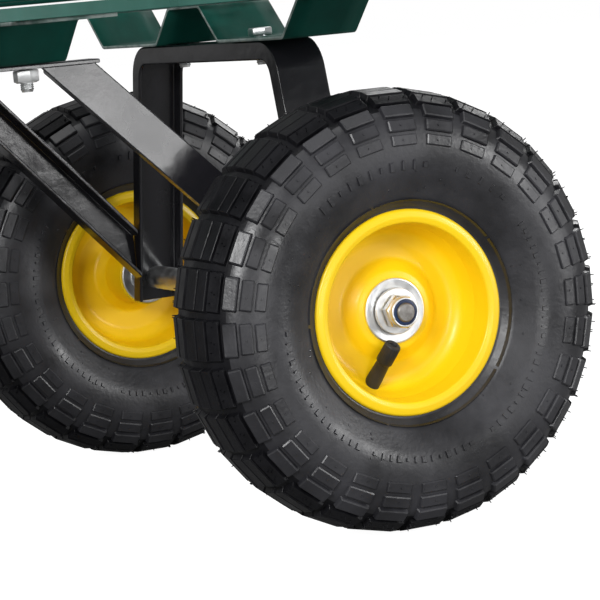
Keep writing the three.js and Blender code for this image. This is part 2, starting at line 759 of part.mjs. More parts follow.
const wheels = [
  ["rear_left", cart, rearX, 1],
  ["rear_right", cart, rearX, -1],
  ["front_left", steer, 0, 1],
  ["front_right", steer, 0, -1],
];
for (const [label, parent, x, side] of wheels) {
  const wheel = new THREE.Group();
  wheel.position.set(x, side * wheelY, axleHeight);
  if (side < 0) wheel.rotation.z = Math.PI;
  parent.add(wheel);
  add(`tyre_${label}`, turned(tyreProfile), tyreRubber, 0, 0, 0, wheel);
  add(`inner_tube_${label}`, innerTube(), tubeRubber, 0, 0, 0, wheel);
  add(`rim_${label}`, rim(), yellowPaint, 0, 0, 0, wheel);
  add(`bearing_outer_${label}`, bearing(hubOuterFace, 1), zinc, 0, 0, 0, wheel);
  add(`bearing_inner_${label}`, bearing(hubInnerFace, -1), zinc, 0, 0, 0, wheel);
  const seat = studShoulder + gap - wheelY;
  add(`washer_${label}`, washer(), zinc, 0, seat, 0, wheel);
  add(`wheel_nut_${label}`, wheelNut(), zinc, 0, seat + washerThickness + gap, 0, wheel);
}

export default cart;
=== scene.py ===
# %% [markdown]
# # A garden cart
# The cart has a mesh load bed, waved cross members, two axles and a pull handle. Its frame comes
# from the CAD model, so every piece below goes where that model's solids are. Pieces are bmesh
# work, in metres, with their places in their meshes.

# %% Load the frame
import math
import random
import bmesh
import bpy
from mathutils import Matrix, Vector


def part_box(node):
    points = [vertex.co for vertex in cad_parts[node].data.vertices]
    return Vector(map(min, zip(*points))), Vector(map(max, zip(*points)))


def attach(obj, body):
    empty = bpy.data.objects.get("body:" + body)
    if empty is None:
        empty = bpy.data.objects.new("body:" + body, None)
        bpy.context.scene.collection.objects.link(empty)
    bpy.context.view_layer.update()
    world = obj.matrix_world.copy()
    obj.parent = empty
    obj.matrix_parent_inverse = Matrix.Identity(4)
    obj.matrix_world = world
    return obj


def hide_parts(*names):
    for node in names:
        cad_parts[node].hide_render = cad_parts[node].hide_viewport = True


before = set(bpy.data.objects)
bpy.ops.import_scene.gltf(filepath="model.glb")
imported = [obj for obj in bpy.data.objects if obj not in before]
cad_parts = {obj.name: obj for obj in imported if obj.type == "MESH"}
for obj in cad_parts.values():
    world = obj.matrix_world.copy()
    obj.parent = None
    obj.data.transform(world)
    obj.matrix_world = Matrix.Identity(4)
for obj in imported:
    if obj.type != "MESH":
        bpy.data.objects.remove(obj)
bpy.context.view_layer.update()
MM = 0.001
scene = bpy.context.scene

# %% [markdown]
# ## Camera
# A long lens close to the rear wheel, tilted by a few degrees. The three directions of the
# camera are worked out from where it looks and how far it is rolled.

# %% Camera
EYE_FROM_AXLE = Vector((0.7174, 1.6186, 0.1892))
ROLL = math.radians(-5.202)
LENS_LENGTH = 163.31

rear_hub = sum(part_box("tyre_rear_left"), Vector()) / 2
rear_middle = Vector((rear_hub.x, 0, rear_hub.z))
eye = rear_middle + EYE_FROM_AXLE
look = Vector((-0.42102, -0.90010, -0.11209)).normalized()
level = look.cross(Vector((0, 0, 1))).normalized()
upright = level.cross(look)
right = level * math.cos(ROLL) + upright * math.sin(ROLL)
up = upright * math.cos(ROLL) - level * math.sin(ROLL)
lens = bpy.data.cameras.new("camera")
lens.lens = LENS_LENGTH
lens.sensor_width = 36
lens.clip_end = 50
camera = bpy.data.objects.new("camera", lens)
camera.matrix_world = Matrix.Translation(eye) @ Matrix((right, up, -look)).transposed().to_4x4()
scene.collection.objects.link(camera)
scene.camera = camera
print("camera at", tuple(round(v, 3) for v in eye))

# %% [markdown]
# ## Light
# A small lamp would leave hard points of light on gloss paint. Large square lamps give the long
# soft sheens instead: one high in front of the cart, one low beside the camera, one to the
# right, one overhead and one behind. A square area lamp is the simplest soft box.

# %% Lamps
def studio_lamp(name, place, target, size, power):
    lamp = bpy.data.lights.new(name, "AREA")
    lamp.shape = "SQUARE"
    lamp.size = size
    lamp.energy = power
    holder = bpy.data.objects.new(name, lamp)
    aim = (Vector(target) - Vector(place)).to_track_quat("-Z", "Y")
    holder.matrix_world = Matrix.Translation(place) @ aim.to_matrix().to_4x4()
    scene.collection.objects.link(holder)
    return holder

studio_lamp("key_lamp", (1.4, 1.8, 1.15), (-0.2, 0.1, 0.2), 0.8, 50)
studio_lamp("side_lamp", (-0.38, 2.0, 0.10), (-0.3, 0.1, 0.2), 0.45, 7.5)
studio_lamp("right_lamp", (-2.0, 1.7, 0.5), (-0.3, 0.1, 0.2), 0.7, 20)
studio_lamp("top_lamp", (-0.2, 0.3, 2.4), (0, 0, 0.2), 1.4, 14)
studio_lamp("back_lamp", (-1.8, -1.4, 1.4), (0, 0, 0.3), 1.2, 30)

# %% [markdown]
# The sky is white where the camera sees it, and much dimmer as a light. A Light Path node tells
# the two apart, so the background can be bright while shaded sides of the cart stay dark.

# %% Sky
SKY_AS_LIGHT = 0.34
world = bpy.data.worlds.new("pale_studio")
scene.world = world
world.use_nodes = True
sky = world.node_tree
sky.nodes["Background"].inputs["Color"].default_value = (1, 1, 1, 1)
seen = sky.nodes.new("ShaderNodeLightPath")
sky_level = sky.nodes.new("ShaderNodeMapRange")
sky_level.inputs["To Min"].default_value = SKY_AS_LIGHT
sky_level.inputs["To Max"].default_value = 1.0
sky.links.new(seen.outputs["Is Camera Ray"], sky_level.inputs["Value"])
sky.links.new(sky_level.outputs[0], sky.nodes["Background"].inputs["Strength"])
scene.view_settings.view_transform = "Standard"
print("sky as a light", SKY_AS_LIGHT)

# %% [markdown]
# The floor is one large square of white paper. The camera sees it a little brighter than the
# lamps make it, which keeps it as pale as the sky and leaves only a faint shadow.

# %% Floor
FLOOR_REACH = 12
PAPER_GLOW = 0.97
floor_bm = bmesh.new()
bmesh.ops.create_grid(floor_bm, x_segments=1, y_segments=1, size=FLOOR_REACH)
floor_mesh_data = bpy.data.meshes.new("studio_floor")
floor_bm.to_mesh(floor_mesh_data)
floor_bm.free()
studio_floor = bpy.data.objects.new("studio_floor", floor_mesh_data)
scene.collection.objects.link(studio_floor)
floor_paper = bpy.data.materials.new("floor_paper")
floor_paper.use_nodes = True
paper = floor_paper.node_tree.nodes["Principled BSDF"]
paper.inputs["Base Color"].default_value = (0.26, 0.26, 0.26, 1)
paper.inputs["Roughness"].default_value = 0.9
paper.inputs["Specular IOR Level"].default_value = 0.0
paper.inputs["Emission Color"].default_value = (1, 1, 1, 1)
floor_seen = floor_paper.node_tree.nodes.new("ShaderNodeLightPath")
lift = floor_paper.node_tree.nodes.new("ShaderNodeMath")
lift.operation = "MULTIPLY"
lift.inputs[1].default_value = PAPER_GLOW
floor_paper.node_tree.links.new(floor_seen.outputs["Is Camera Ray"], lift.inputs[0])
floor_paper.node_tree.links.new(lift.outputs[0], paper.inputs["Emission Strength"])
studio_floor.data.materials.append(floor_paper)
print("floor", 2 * FLOOR_REACH, "m wide")

# %% [markdown]
# ## One group for uneven finishes
# No real finish is one flat colour. This group blends two tones of a finish by a noise, varies
# its roughness by the same noise, and adds a fine height for the skin of the paint or rubber.
# It reads Object coordinates, so a pattern stays on its piece when the piece moves.

# %% The finish group
def node_group(name, inputs, outputs):
    group = bpy.data.node_groups.new(name, "ShaderNodeTree")
    for label, kind, value in inputs:
        socket = group.interface.new_socket(label, in_out="INPUT", socket_type=kind)
        socket.default_value = value
    for label, kind in outputs:
        group.interface.new_socket(label, in_out="OUTPUT", socket_type=kind)
    return group, group.nodes.new("NodeGroupInput"), group.nodes.new("NodeGroupOutput")

def linked(tree, kind, wires, **settings):
    """A new node of that kind, with each named input joined to a socket or given a value."""
    node = tree.nodes.new(kind)
    for label, value in settings.items():
        setattr(node, label, value)
    for label, value in wires.items():
        socket = node.inputs[label]
        if isinstance(value, bpy.types.NodeSocket):
            tree.links.new(value, socket)
        else:
            socket.default_value = value
    return node

COLOUR, NUMBER, DIRECTION = "NodeSocketColor", "NodeSocketFloat", "NodeSocketVector"
uneven, start, end = node_group(
    "uneven_finish",
    [
        ("Tone", COLOUR, (0.1, 0.1, 0.1, 1)),
        ("Second Tone", COLOUR, (0.2, 0.2, 0.2, 1)),
        ("Stretch", DIRECTION, (1, 1, 1)),
        ("Scale", NUMBER, 20),
        ("Smoothest", NUMBER, 0.3),
        ("Roughest", NUMBER, 0.5),
        ("Grain Scale", NUMBER, 400),
        ("Grain Height", NUMBER, 0.1),
    ],
    [("Color", COLOUR), ("Roughness", NUMBER), ("Normal", DIRECTION)],
)
print("inputs", [item.name for item in uneven.interface.items_tree if item.in_out == "INPUT"])

# %% [markdown]
# Inside the group one noise makes clouds. They choose between the two tones and between the two
# roughness values, and a second, finer noise becomes the height of a Bump node.

# %% The group's nodes
place = linked(uneven, "ShaderNodeTexCoord", {})
stretched = linked(uneven, "ShaderNodeVectorMath",
    {0: place.outputs["Object"], 1: start.outputs["Stretch"]}, operation="MULTIPLY")
clouds = linked(uneven, "ShaderNodeTexNoise",
    {"Vector": stretched.outputs[0], "Scale": start.outputs["Scale"], "Detail": 5.0,
     "Roughness": 0.6})
spread = linked(uneven, "ShaderNodeMapRange",
    {"Value": clouds.outputs[0], "From Min": 0.35, "From Max": 0.65})
tones = linked(uneven, "ShaderNodeMix",
    {0: spread.outputs[0], 6: start.outputs["Tone"], 7: start.outputs["Second Tone"]},
    data_type="RGBA")
gloss = linked(uneven, "ShaderNodeMapRange",
    {"Value": clouds.outputs[0], "From Min": 0.3, "From Max": 0.7,
     "To Min": start.outputs["Smoothest"], "To Max": start.outputs["Roughest"]})
grain = linked(uneven, "ShaderNodeTexNoise",
    {"Vector": place.outputs["Object"], "Scale": start.outputs["Grain Scale"], "Detail": 3.0})
relief = linked(uneven, "ShaderNodeBump",
    {"Height": grain.outputs[0], "Strength": start.outputs["Grain Height"], "Distance": 0.0006})
uneven.links.new(tones.outputs[2], end.inputs["Color"])
uneven.links.new(gloss.outputs[0], end.inputs["Roughness"])
uneven.links.new(relief.outputs[0], end.inputs["Normal"])
print("group", uneven.name, "nodes", len(uneven.nodes))

# %% [markdown]
# ## Finishes
# Each finish places the group with its own values. What is the same all over, such as the
# metallic value and the clear coat, sits on the shader's own sockets, where an export finds it.

# %% One finish
COAT_ROUGHNESS = 0.08
def finish(name, tone, second, roughness, scale=20, stretch=(1, 1, 1), grain=(400, 0.1),
           metallic=0.0, coat=0.0, specular=0.5):
    material = bpy.data.materials.new(name)
    material.use_nodes = True
    tree = material.node_tree
    shader = tree.nodes["Principled BSDF"]
    shader.inputs["Metallic"].default_value = metallic
    shader.inputs["Coat Weight"].default_value = coat
    shader.inputs["Coat Roughness"].default_value = COAT_ROUGHNESS
    shader.inputs["Specular IOR Level"].default_value = specular
    look_group = tree.nodes.new("ShaderNodeGroup")
    look_group.node_tree = uneven
    values = {
        "Tone": (*tone, 1), "Second Tone": (*second, 1), "Stretch": stretch, "Scale": scale,
        "Smoothest": roughness[0], "Roughest": roughness[1],
        "Grain Scale": grain[0], "Grain Height": grain[1],
    }
    for label, value in values.items():
        look_group.inputs[label].default_value = value
    tree.links.new(look_group.outputs["Color"], shader.inputs["Base Color"])
    tree.links.new(look_group.outputs["Roughness"], shader.inputs["Roughness"])
    tree.links.new(look_group.outputs["Normal"], shader.inputs["Normal"])
    return material

print("coat roughness", COAT_ROUGHNESS)

# %% [markdown]
# The steel parts are painted: deep green for the bed, gloss black for the axle brackets, and
# yellow for the rims. Sprayed paint has a faint orange-peel skin, so its grain is low and wide.
# The cross members are duller, and their cut edges are pale and rough: the pale tone is a painted
# highlight along the thin edges.

# %% Paints
green = finish("green_gloss_paint", (0.0035, 0.058, 0.042), (0.006, 0.085, 0.064), (0.24, 0.36),
    scale=30, stretch=(1, 1, 0.15), grain=(250, 0.12), coat=0.3)
satin_green = finish("green_satin_paint", (0.0025, 0.046, 0.034), (0.005, 0.070, 0.052),
    (0.48, 0.62), scale=30, stretch=(1, 1, 0.15), grain=(250, 0.12), specular=0.12)
# The pale tone of the cut edges is a painted highlight.
green_edge_highlight_paint = finish("pale_edge_painted_highlight", (0.10, 0.17, 0.15), (0.36, 0.42, 0.40), (0.35, 0.55),
    scale=90, grain=(500, 0.3), coat=0.1)
black = finish("black_gloss_paint", (0.009, 0.009, 0.011), (0.014, 0.0135, 0.017), (0.17, 0.29),
    scale=12, grain=(90, 0.45), coat=0.25)
yellow = finish("yellow_gloss_paint", (0.94, 0.63, 0.004), (0.91, 0.59, 0.003), (0.34, 0.44),
    scale=14, grain=(120, 0.05), coat=0.08, specular=0.4)
print("paints", len(bpy.data.materials) - 1)

# %% [markdown]
# Rubber is almost black, and its shine comes and goes in clouds from the mould and from handling.
# The side wall is smoother than the tread, and the valve is matt. The tread is painted darker
# than the side wall, as painted shade for the shade on the crown and shoulder.

# %% Rubbers
rubber = finish("tyre_rubber", (0.010, 0.010, 0.012), (0.027, 0.027, 0.032), (0.26, 0.52),
    scale=26, grain=(420, 0.25), specular=0.6)
# The tread's darker tone is painted shade on the crown and shoulder.
tread_painted_shade_rubber = finish("tread_painted_shade_rubber", (0.004, 0.004, 0.005), (0.009, 0.009, 0.011), (0.30, 0.5),
    scale=60, grain=(520, 0.3), specular=0.2)
valve_rubber = finish("valve_rubber", (0.010, 0.010, 0.011), (0.02, 0.02, 0.021), (0.45, 0.6),
    scale=80, grain=(600, 0.2))
print("finishes so far", len(bpy.data.materials) - 1)

# %% [markdown]
# Bearings, washers and bolts are zinc plated, the wheel nuts have a yellow passivated zinc, and
# the cut end of the axle is bare steel. Metals are fully metallic, and only their tone and
# roughness differ. The nylon ring and the hand grip are plain moulded plastics.

# %% Metals and plastics
dull_steel = finish("dull_steel", (0.22, 0.205, 0.19), (0.34, 0.33, 0.31), (0.35, 0.5),
    scale=300, grain=(900, 0.3), metallic=1.0)
zinc = finish("zinc_plate", (0.74, 0.75, 0.76), (0.86, 0.87, 0.87), (0.30, 0.52),
    scale=110, grain=(700, 0.12), metallic=1.0)
gold_zinc = finish("yellow_zinc_plate", (0.62, 0.52, 0.30), (0.70, 0.66, 0.55), (0.2, 0.34),
    scale=130, grain=(700, 0.1), metallic=1.0)
nylon = finish("blue_nylon", (0.006, 0.014, 0.05), (0, 0.022, 0.075), (0.35, 0.45), scale=90)
grip_plastic = finish("grip_plastic", (0.013, 0.013, 0.014), (0.022, 0.022, 0.023), (0.45, 0.6),
    scale=50, grain=(700, 0.35))
print("finishes", len(bpy.data.materials) - 1)

# %% [markdown]
# ## Helpers
# A turned piece starts as a half outline. Its corners are given with the radius that rounds
# them, so that an outline holds only the points its shape needs.

# %% Rounded outlines
def rounded(corners, steps=5):
    """Each corner is (u, v, radius). Corners with a radius become arcs."""
    points = []
    for i, (u, v, radius) in enumerate(corners):
        here = Vector((u, v))
        if not radius or i in (0, len(corners) - 1):
            points.append(here)
            continue
        back = (Vector(corners[i - 1][:2]) - here).normalized()
        ahead = (Vector(corners[i + 1][:2]) - here).normalized()
        half = back.angle(ahead) / 2
        centre = here + (back + ahead).normalized() * radius / math.sin(half)
        first = here + back * radius / math.tan(half) - centre
        last = here + ahead * radius / math.tan(half) - centre
        turn = first.angle_signed(last)
        for k in range(steps + 1):
            points.append(centre + Matrix.Rotation(-turn * k / steps, 2) @ first)
    return points

print("points in one rounded corner", len(rounded([(0, 0, 0), (10, 0, 2), (10, 10, 0)])) - 2)

# %% [markdown]
# Wheels, washers, axles and grips are all round, as if made on a lathe. An outline could be given
# to a Screw modifier, but a full spin with its seam merged gives a closed mesh at once.

# %% Turned shapes
WELD = 1e-6
def turn_shape(bm, outline, steps=64, closed=True):
    """Spins an outline of (radius, along) points, in mm, once about the Y axis."""
    verts = [bm.verts.new((u * MM, v * MM, 0)) for u, v in outline]
    pairs = list(zip(verts, verts[1:]))
    if closed:
        pairs.append((verts[-1], verts[0]))
    edges = [bm.edges.new(pair) for pair in pairs]
    bmesh.ops.spin(bm, geom=verts + edges, cent=(0, 0, 0), axis=(0, 1, 0), dvec=(0, 0, 0),
        angle=math.tau, steps=steps, use_merge=True, use_duplicate=False)
    bmesh.ops.remove_doubles(bm, verts=bm.verts, dist=WELD)
    bmesh.ops.recalc_face_normals(bm, faces=bm.faces)

print("vertices closer than", WELD, "m are merged")

# %% [markdown]
# Every finished mesh becomes a piece in one place: it gets its finishes, sharp edges where
# faces meet at a wide angle and the body that it rides on, and the CAD solids that it stands for
# are hidden.

# %% Pieces
def piece(name, bm, materials, body, replaced, sharp=35, bevel=0.0):
    """With sharp at 0 every face stays flat, which suits plain sheet with eased edges."""
    mesh = bpy.data.meshes.new(name)
    bm.to_mesh(mesh)
    bm.free()
    if sharp:
        mesh.shade_smooth()
        mesh.set_sharp_from_angle(angle=math.radians(sharp))
    return dress(bpy.data.objects.new(name, mesh), materials, body, replaced, bevel)

def dress(made, materials, body, replaced, bevel):
    scene.collection.objects.link(made)
    for material in materials:
        made.data.materials.append(material)
    if bevel:
        edge = made.modifiers.new("eased_edges", "BEVEL")
        edge.width = bevel * MM
        edge.segments = 3
        edge.limit_method = "ANGLE"
        edge.angle_limit = math.radians(40)
        edge.harden_normals = made.data.polygons[0].use_smooth
    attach(made, body)
    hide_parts(*replaced)
    return made

def moved(bm, matrix):
    bmesh.ops.transform(bm, matrix=matrix, verts=bm.verts)
    return bm

# %% [markdown]
# Some CAD solids already have the right shape and only lack eased edges. A copy is merged,
# its flat triangles are joined, and a narrow bevel takes the knife edge off.

# %% Eased copies
def eased_copy(node, material, body, width=0.8):
    bm = bmesh.new()
    bm.from_mesh(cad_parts[node].data)
    bmesh.ops.transform(bm, matrix=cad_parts[node].matrix_world, verts=bm.verts)
    bmesh.ops.remove_doubles(bm, verts=bm.verts, dist=1e-5)
    bmesh.ops.dissolve_limit(bm, angle_limit=math.radians(1), verts=bm.verts, edges=bm.edges)
    faces = len(bm.faces)
    made = piece(f"{node}_eased", bm, [material], body, [node], sharp=0, bevel=width)
    print(made.name, "faces", faces)
    return made

# %% [markdown]
# ## The tyre
# A small pneumatic tyre is moulded in one piece: a round carcass, square blocks in rows over
# the tread and both shoulders, and thin marks on its side walls. The carcass is turned. Each
# row of blocks is the same, so one row is made and copied round by rotation.

# %% Tyre sizes
TYRE_RADIUS = (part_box("tyre_rear_left")[1].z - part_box("tyre_rear_left")[0].z) / 2 / MM
TREAD_DEPTH = 2.6
CARCASS = TYRE_RADIUS - TREAD_DEPTH
ROWS = 28
print("tyre radius", round(TYRE_RADIUS, 1), "rows", ROWS)

# %% [markdown]
# The carcass is nearly as wide as it is tall, with a flat crown, round shoulders and a bead that
# tucks in behind the rim's lip. It is hollow, because the inner tube fills it.

# %% Carcass outline
CROWN = CARCASS + 0.3
CARCASS_INSIDE = [(52.6, 16), (78, 30), (104, 32), (119, 22)]
def carcass_side(sign):
    """From the bead to the shoulder, on the outside."""
    return [(52.6, 24 * sign, 0), (61.5, 26.5 * sign, 3), (67, 31.5 * sign, 10),
            (84, 39.8 * sign, 30), (101, 40.2 * sign, 40), (CARCASS - 11.5, 34.5 * sign, 22),
            (CARCASS - 2.2, 20 * sign, 20)]

def carcass_outline():
    outer = rounded(carcass_side(-1) + [(CROWN, 0, 30)] + carcass_side(1)[::-1], steps=4)
    inner = CARCASS_INSIDE + [(u, -v) for u, v in CARCASS_INSIDE[::-1]]
    return [tuple(p) for p in outer] + inner

print("outline points", len(carcass_outline()))

# %% [markdown]
# Blocks and marks follow the carcass, so they need its surface. This helper walks along half of
# the outline, from the middle of the tread, and gives the point and the outward direction.

# %% A place on the side
side_line = rounded([(CROWN, 0, 0)] + carcass_side(1)[::-1], steps=8)

def on_side(distance):
    """The point and outward direction at that distance over the surface from the tread's middle."""
    left = abs(distance)
    for a, b in zip(side_line, side_line[1:]):
        length = (b - a).length
        if left <= length:
            break
        left -= length
    run = (b - a).normalized()
    point = a + run * left
    sign = 1 if distance >= 0 else -1
    return Vector((point.x, point.y * sign)), Vector((run.y, -run.x * sign))

print("widest point", on_side(57))

# %% [markdown]
# A block is a cube pressed to a taper and given a soft edge. It is stood on the surface by a
# matrix: one axis goes round the wheel, one over the surface, and one points out of it.

# %% Blocks
BLOCK_ROOT = 1.5
def stand_on(distance, angle):
    point, out = on_side(distance)
    normal = Vector((out.x, out.y, 0))
    around = Vector((0, 0, 1))
    over = normal.cross(around)
    base = Vector((point.x, point.y, 0)) * MM
    stand = Matrix((around, over, normal)).transposed().to_4x4()
    return Matrix.Rotation(angle, 4, "Y") @ Matrix.Translation(base) @ stand

def block(bm, distance, angle, size, taper, edge):
    """A block reaches BLOCK_ROOT below the surface, so no gap shows under it."""
    wide, long, high = size
    depth = high + BLOCK_ROOT
    new = bmesh.ops.create_cube(bm, size=1,
        matrix=Matrix.Diagonal((wide * MM, long * MM, depth * MM, 1)))
    top = [v for v in new["verts"] if v.co.z > 0]
    bmesh.ops.scale(bm, vec=(taper, taper, 1), verts=top)
    if edge:
        rim = {e for v in top for e in v.link_edges}
        made = bmesh.ops.bevel(bm, geom=list(rim), offset=edge * MM, segments=1, profile=0.5,
            affect="EDGES", material=-1, clamp_overlap=True)
        verts = {v for f in made["faces"] for v in f.verts}
        verts |= {v for v in new["verts"] if v.is_valid}
    else:
        verts = set(new["verts"])
    lift = Matrix.Translation((0, 0, (high - depth / 2) * MM))
    bmesh.ops.transform(bm, matrix=stand_on(distance, angle) @ lift, verts=list(verts))

def pip(bm, distance, angle, radius, height):
    stand = stand_on(distance, angle) @ Matrix.Translation((0, 0, height * MM / 2))
    bmesh.ops.create_cone(bm, segments=6, radius1=radius * MM, radius2=radius * 0.6 * MM,
        depth=height * MM, cap_ends=True, matrix=stand)

print("block root", BLOCK_ROOT, "mm")

# %% [markdown]
# Half a row has six blocks: one on the crown, two on the shoulder and three thinner ones on the
# side. Two of them carry a vent pip, and thin hairs of rubber stand where the mould's halves met.

# %% One row of the tread
TREAD_TAPER = 0.9
BLOCKS = [  # distance over the surface, width round the wheel, length, height, edge
    (6.3, 25.4, 11.4, 2.4, 0.35), (16.9, 25.2, 8.9, 2.3, 0.2), (25.8, 24.6, 8.6, 2.2, 0.2),
    (35.6, 20.6, 8.8, 2.2, 0.6), (44.7, 18.6, 7.6, 1.6, 0.6), (53.2, 17.0, 6.8, 1.1, 0.5),
]
PIPS = [(44.7, 1.6), (53.2, 1.1)]  # distance over the surface, height of the block under it
HAIRS = 6

def tread_row(bm, draw):
    """Every block, pip and moulding hair of one row, on both sides of the tyre."""
    for side in (-1, 1):
        for distance, wide, long, high, edge in BLOCKS:
            block(bm, side * distance, 0, (wide, long, high), TREAD_TAPER, edge)
        for distance, high in PIPS:
            pip(bm, side * distance, 0.01, 0.95, high + 0.45)
        for _ in range(HAIRS):
            hair = side * draw.uniform(18, 28)
            pip(bm, hair, draw.uniform(-0.11, 0.11), 0.45, draw.uniform(3.2, 4.6))

print("blocks in a row", 2 * len(BLOCKS), "hairs", 2 * HAIRS)

# %% [markdown]
# Spinning the row with use_duplicate copies it round the wheel, one step short of a full turn.
# Faces beyond a radius, on the crown and shoulder, get the darker rubber: painted shade for the
# shade that falls there.

# %% One tyre
TREAD_SHADE_EDGE = 118.5
def joined(bm, other):
    """Adds the other shape's faces to bm, finishes and all."""
    part = bpy.data.meshes.new("part")
    other.to_mesh(part)
    other.free()
    bm.from_mesh(part)
    bpy.data.meshes.remove(part)
    return bm

def tyre_shape():
    bm = bmesh.new()
    tread_row(bm, random.Random(4))
    bmesh.ops.spin(bm, geom=bm.verts[:] + bm.edges[:] + bm.faces[:], cent=(0, 0, 0),
        axis=(0, 1, 0), dvec=(0, 0, 0), angle=math.tau * (ROWS - 1) / ROWS, steps=ROWS - 1,
        use_duplicate=True)
    carcass = bmesh.new()
    turn_shape(carcass, carcass_outline(), steps=112)
    joined(bm, carcass)
    for f in bm.faces:
        # Faces beyond the radius get the darker rubber, which is painted shade.
        f.material_index = int(f.calc_center_median().xz.length > TREAD_SHADE_EDGE * MM)
    return bm

print("darker rubber beyond", TREAD_SHADE_EDGE, "mm")

# %% [markdown]
# The side wall carries a thin moulding ring near the rim, small vent dots, and groups of plain
# raised bars where a real tyre has its markings. The bars spell nothing.

# %% The moulding ring
RING_ARCS = 5
RING_GAP = 0.03
RING_DISTANCE = 90
def moulding_ring(bm, side):
    """Thin arcs with a small gap between them, each closed at both ends."""
    point, _ = on_side(side * RING_DISTANCE)
    ring = [(point.x - 0.9, point.y - side * 0.9), (point.x, point.y + side * 1.2),
            (point.x + 0.9, point.y - side * 0.5)]
    for k in range(RING_ARCS):
        turn = Matrix.Rotation(math.tau * k / RING_ARCS, 3, "Y")
        verts = [bm.verts.new(turn @ Vector((u * MM, v * MM, 0))) for u, v in ring]
        edges = [bm.edges.new((verts[j], verts[j - 1])) for j in range(3)]
        bmesh.ops.edgeloop_fill(bm, edges=edges)
        made = bmesh.ops.spin(bm, geom=verts + edges, cent=(0, 0, 0), axis=(0, 1, 0),
            dvec=(0, 0, 0), angle=math.tau / RING_ARCS - RING_GAP, steps=24, use_merge=False,
            use_duplicate=False)
        last = [g for g in made["geom_last"] if isinstance(g, bmesh.types.BMEdge)]
        bmesh.ops.edgeloop_fill(bm, edges=last)
    bmesh.ops.recalc_face_normals(bm, faces=bm.faces)

print("ring radius", round(on_side(RING_DISTANCE)[0].x, 1), "mm")

# %% [markdown]
# The groups of bars are spaced round the wall as markings are. Every third bar is wide and every
# fourth is short, which keeps them uneven. The vent dots are placed by a seeded random draw, so
# that they fall in the same places every time.

# %% Side wall marks
DOTS = 34
MARKS = [  # start angle, number of bars, distance over the surface, length, pitch angle
    (4.57, 11, 67.5, 7.2, 0.084), (3.93, 5, 67.5, 5.6, 0.100), (2.09, 26, 69.5, 4.8, 0.064),
    (1.13, 13, 69.5, 4.8, 0.064), (0.00, 16, 69.5, 4.8, 0.066),
]
def side_marks():
    bm = bmesh.new()
    draw = random.Random(9)
    for side in (-1, 1):
        moulding_ring(bm, side)
        for group_start, bars, distance, long, pitch in MARKS:
            for k in range(bars):
                size = (1.5 if k % 3 else 3.4, long if k % 4 else long * 0.6, 0.8)
                block(bm, side * distance, group_start + k * pitch, size, 0.7, 0)
        for _ in range(DOTS):
            pip(bm, side * draw.uniform(66, 88), draw.uniform(0, math.tau),
                draw.uniform(0.5, 0.8), 0.5)
    return bm

print("bars on a side", sum(mark[1] for mark in MARKS), "dots", DOTS)

# %% [markdown]
# All four wheels are the same, turned so that the valve side faces outwards. Each part of a
# wheel is made once at the origin, then copied to each place. Half a turn about the upright
# axis is used for the right side, because mirroring would turn the faces inside out.

# %% The four wheels' places
WHEELS = {  # the half turn about Z that makes a wheel's outer side face outwards
    "rear_left": 0, "rear_right": math.pi, "front_left": 0, "front_right": math.pi,
}
def wheel_place(label):
    centre = sum(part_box(f"tyre_{label}"), Vector()) / 2
    return Matrix.Translation(centre) @ Matrix.Rotation(WHEELS[label], 4, "Z")

def wheel_piece(kind, shape, materials, replaced, sharp=35):
    """The same shape on all four wheels, each riding on its own wheel."""
    for label in WHEELS:
        bm = shape.copy()
        moved(bm, wheel_place(label))
        piece(f"{kind}_{label}_full", bm, materials, f"wheel_{label}",
            [f"{replaced}_{label}"], sharp)
    print(kind, "faces", len(shape.faces))
    shape.free()

for label in WHEELS:
    print(label, "at", tuple(round(v, 3) for v in wheel_place(label).translation))

# %% [markdown]
# The tread, carcass and marks become one piece for each wheel. A low sharp angle keeps the
# blocks' edges crisp while the carcass stays smooth.

# %% Tyres
wheel_piece("tyre", joined(tyre_shape(), side_marks()), [rubber, tread_painted_shade_rubber],
    "tyre", sharp=28)

# %% [markdown]
# ## The rim
# The rim is two pressed steel bowls back to back, painted yellow. Its lip is rolled, its wall
# drops to a smooth bowl, and a domed boss holds the bearing. Each corner of the outline has its
# own radius, as a press tool would, so the highlights bend the way they do on real sheet.

# %% Rims
HUB = 17.5
RIM_OUTER_FACE = [  # radius, distance outwards, corner radius
    (HUB, 8.2, 0), (20.2, 8.2, 1.2), (23.5, 7.6, 4), (30.5, 1.5, 6), (45.5, -0.5, 9),
    (50.5, 14, 6), (52.2, 27.6, 1.6), (55.5, 28.6, 3), (60.2, 27.8, 2.2), (60.2, 24.4, 1),
    (52.0, 22.6, 2),
]
RIM_INNER_FACE = [
    (51.8, -22.6, 2), (60.2, -24.4, 1), (60.2, -27.8, 2.2), (55.5, -28.6, 3),
    (52.2, -27.6, 1.6), (49.0, -10, 8), (40, -5.5, 8), (27, -5.0, 4), (21.0, -12, 4),
    (20.4, -38, 0.6), (HUB, -38, 0),
]
def rim_shape():
    bm = bmesh.new()
    turn_shape(bm, rounded(RIM_OUTER_FACE + RIM_INNER_FACE, steps=7), steps=128)
    return bm

wheel_piece("rim", rim_shape(), [yellow], "rim", sharp=50)

# %% [markdown]
# ## Bearings
# A bearing shows as a plated disc over the hub's end, with a raised rim and a bore for the
# axle. It sits in the hub, so its outline is a cap with a skirt that goes inside.

# %% Bearings
OUTER_SEAT = 8.3
INNER_SEAT = -38.2
def bearing_shape(face, outward):
    bm = bmesh.new()
    corners = [(8.3, 0.4, 0), (12.5, 0.4, 0.4), (13.4, 1.0, 0.4), (18.4, 1.5, 0.5),
               (19.3, 1.2, 0.4), (19.3, 0.2, 0), (17.2, 0.2, 0), (17.2, -11, 0), (8.3, -11, 0)]
    turn_shape(bm, [(p[0], face + outward * p[1]) for p in rounded(corners, steps=3)], steps=72)
    return bm

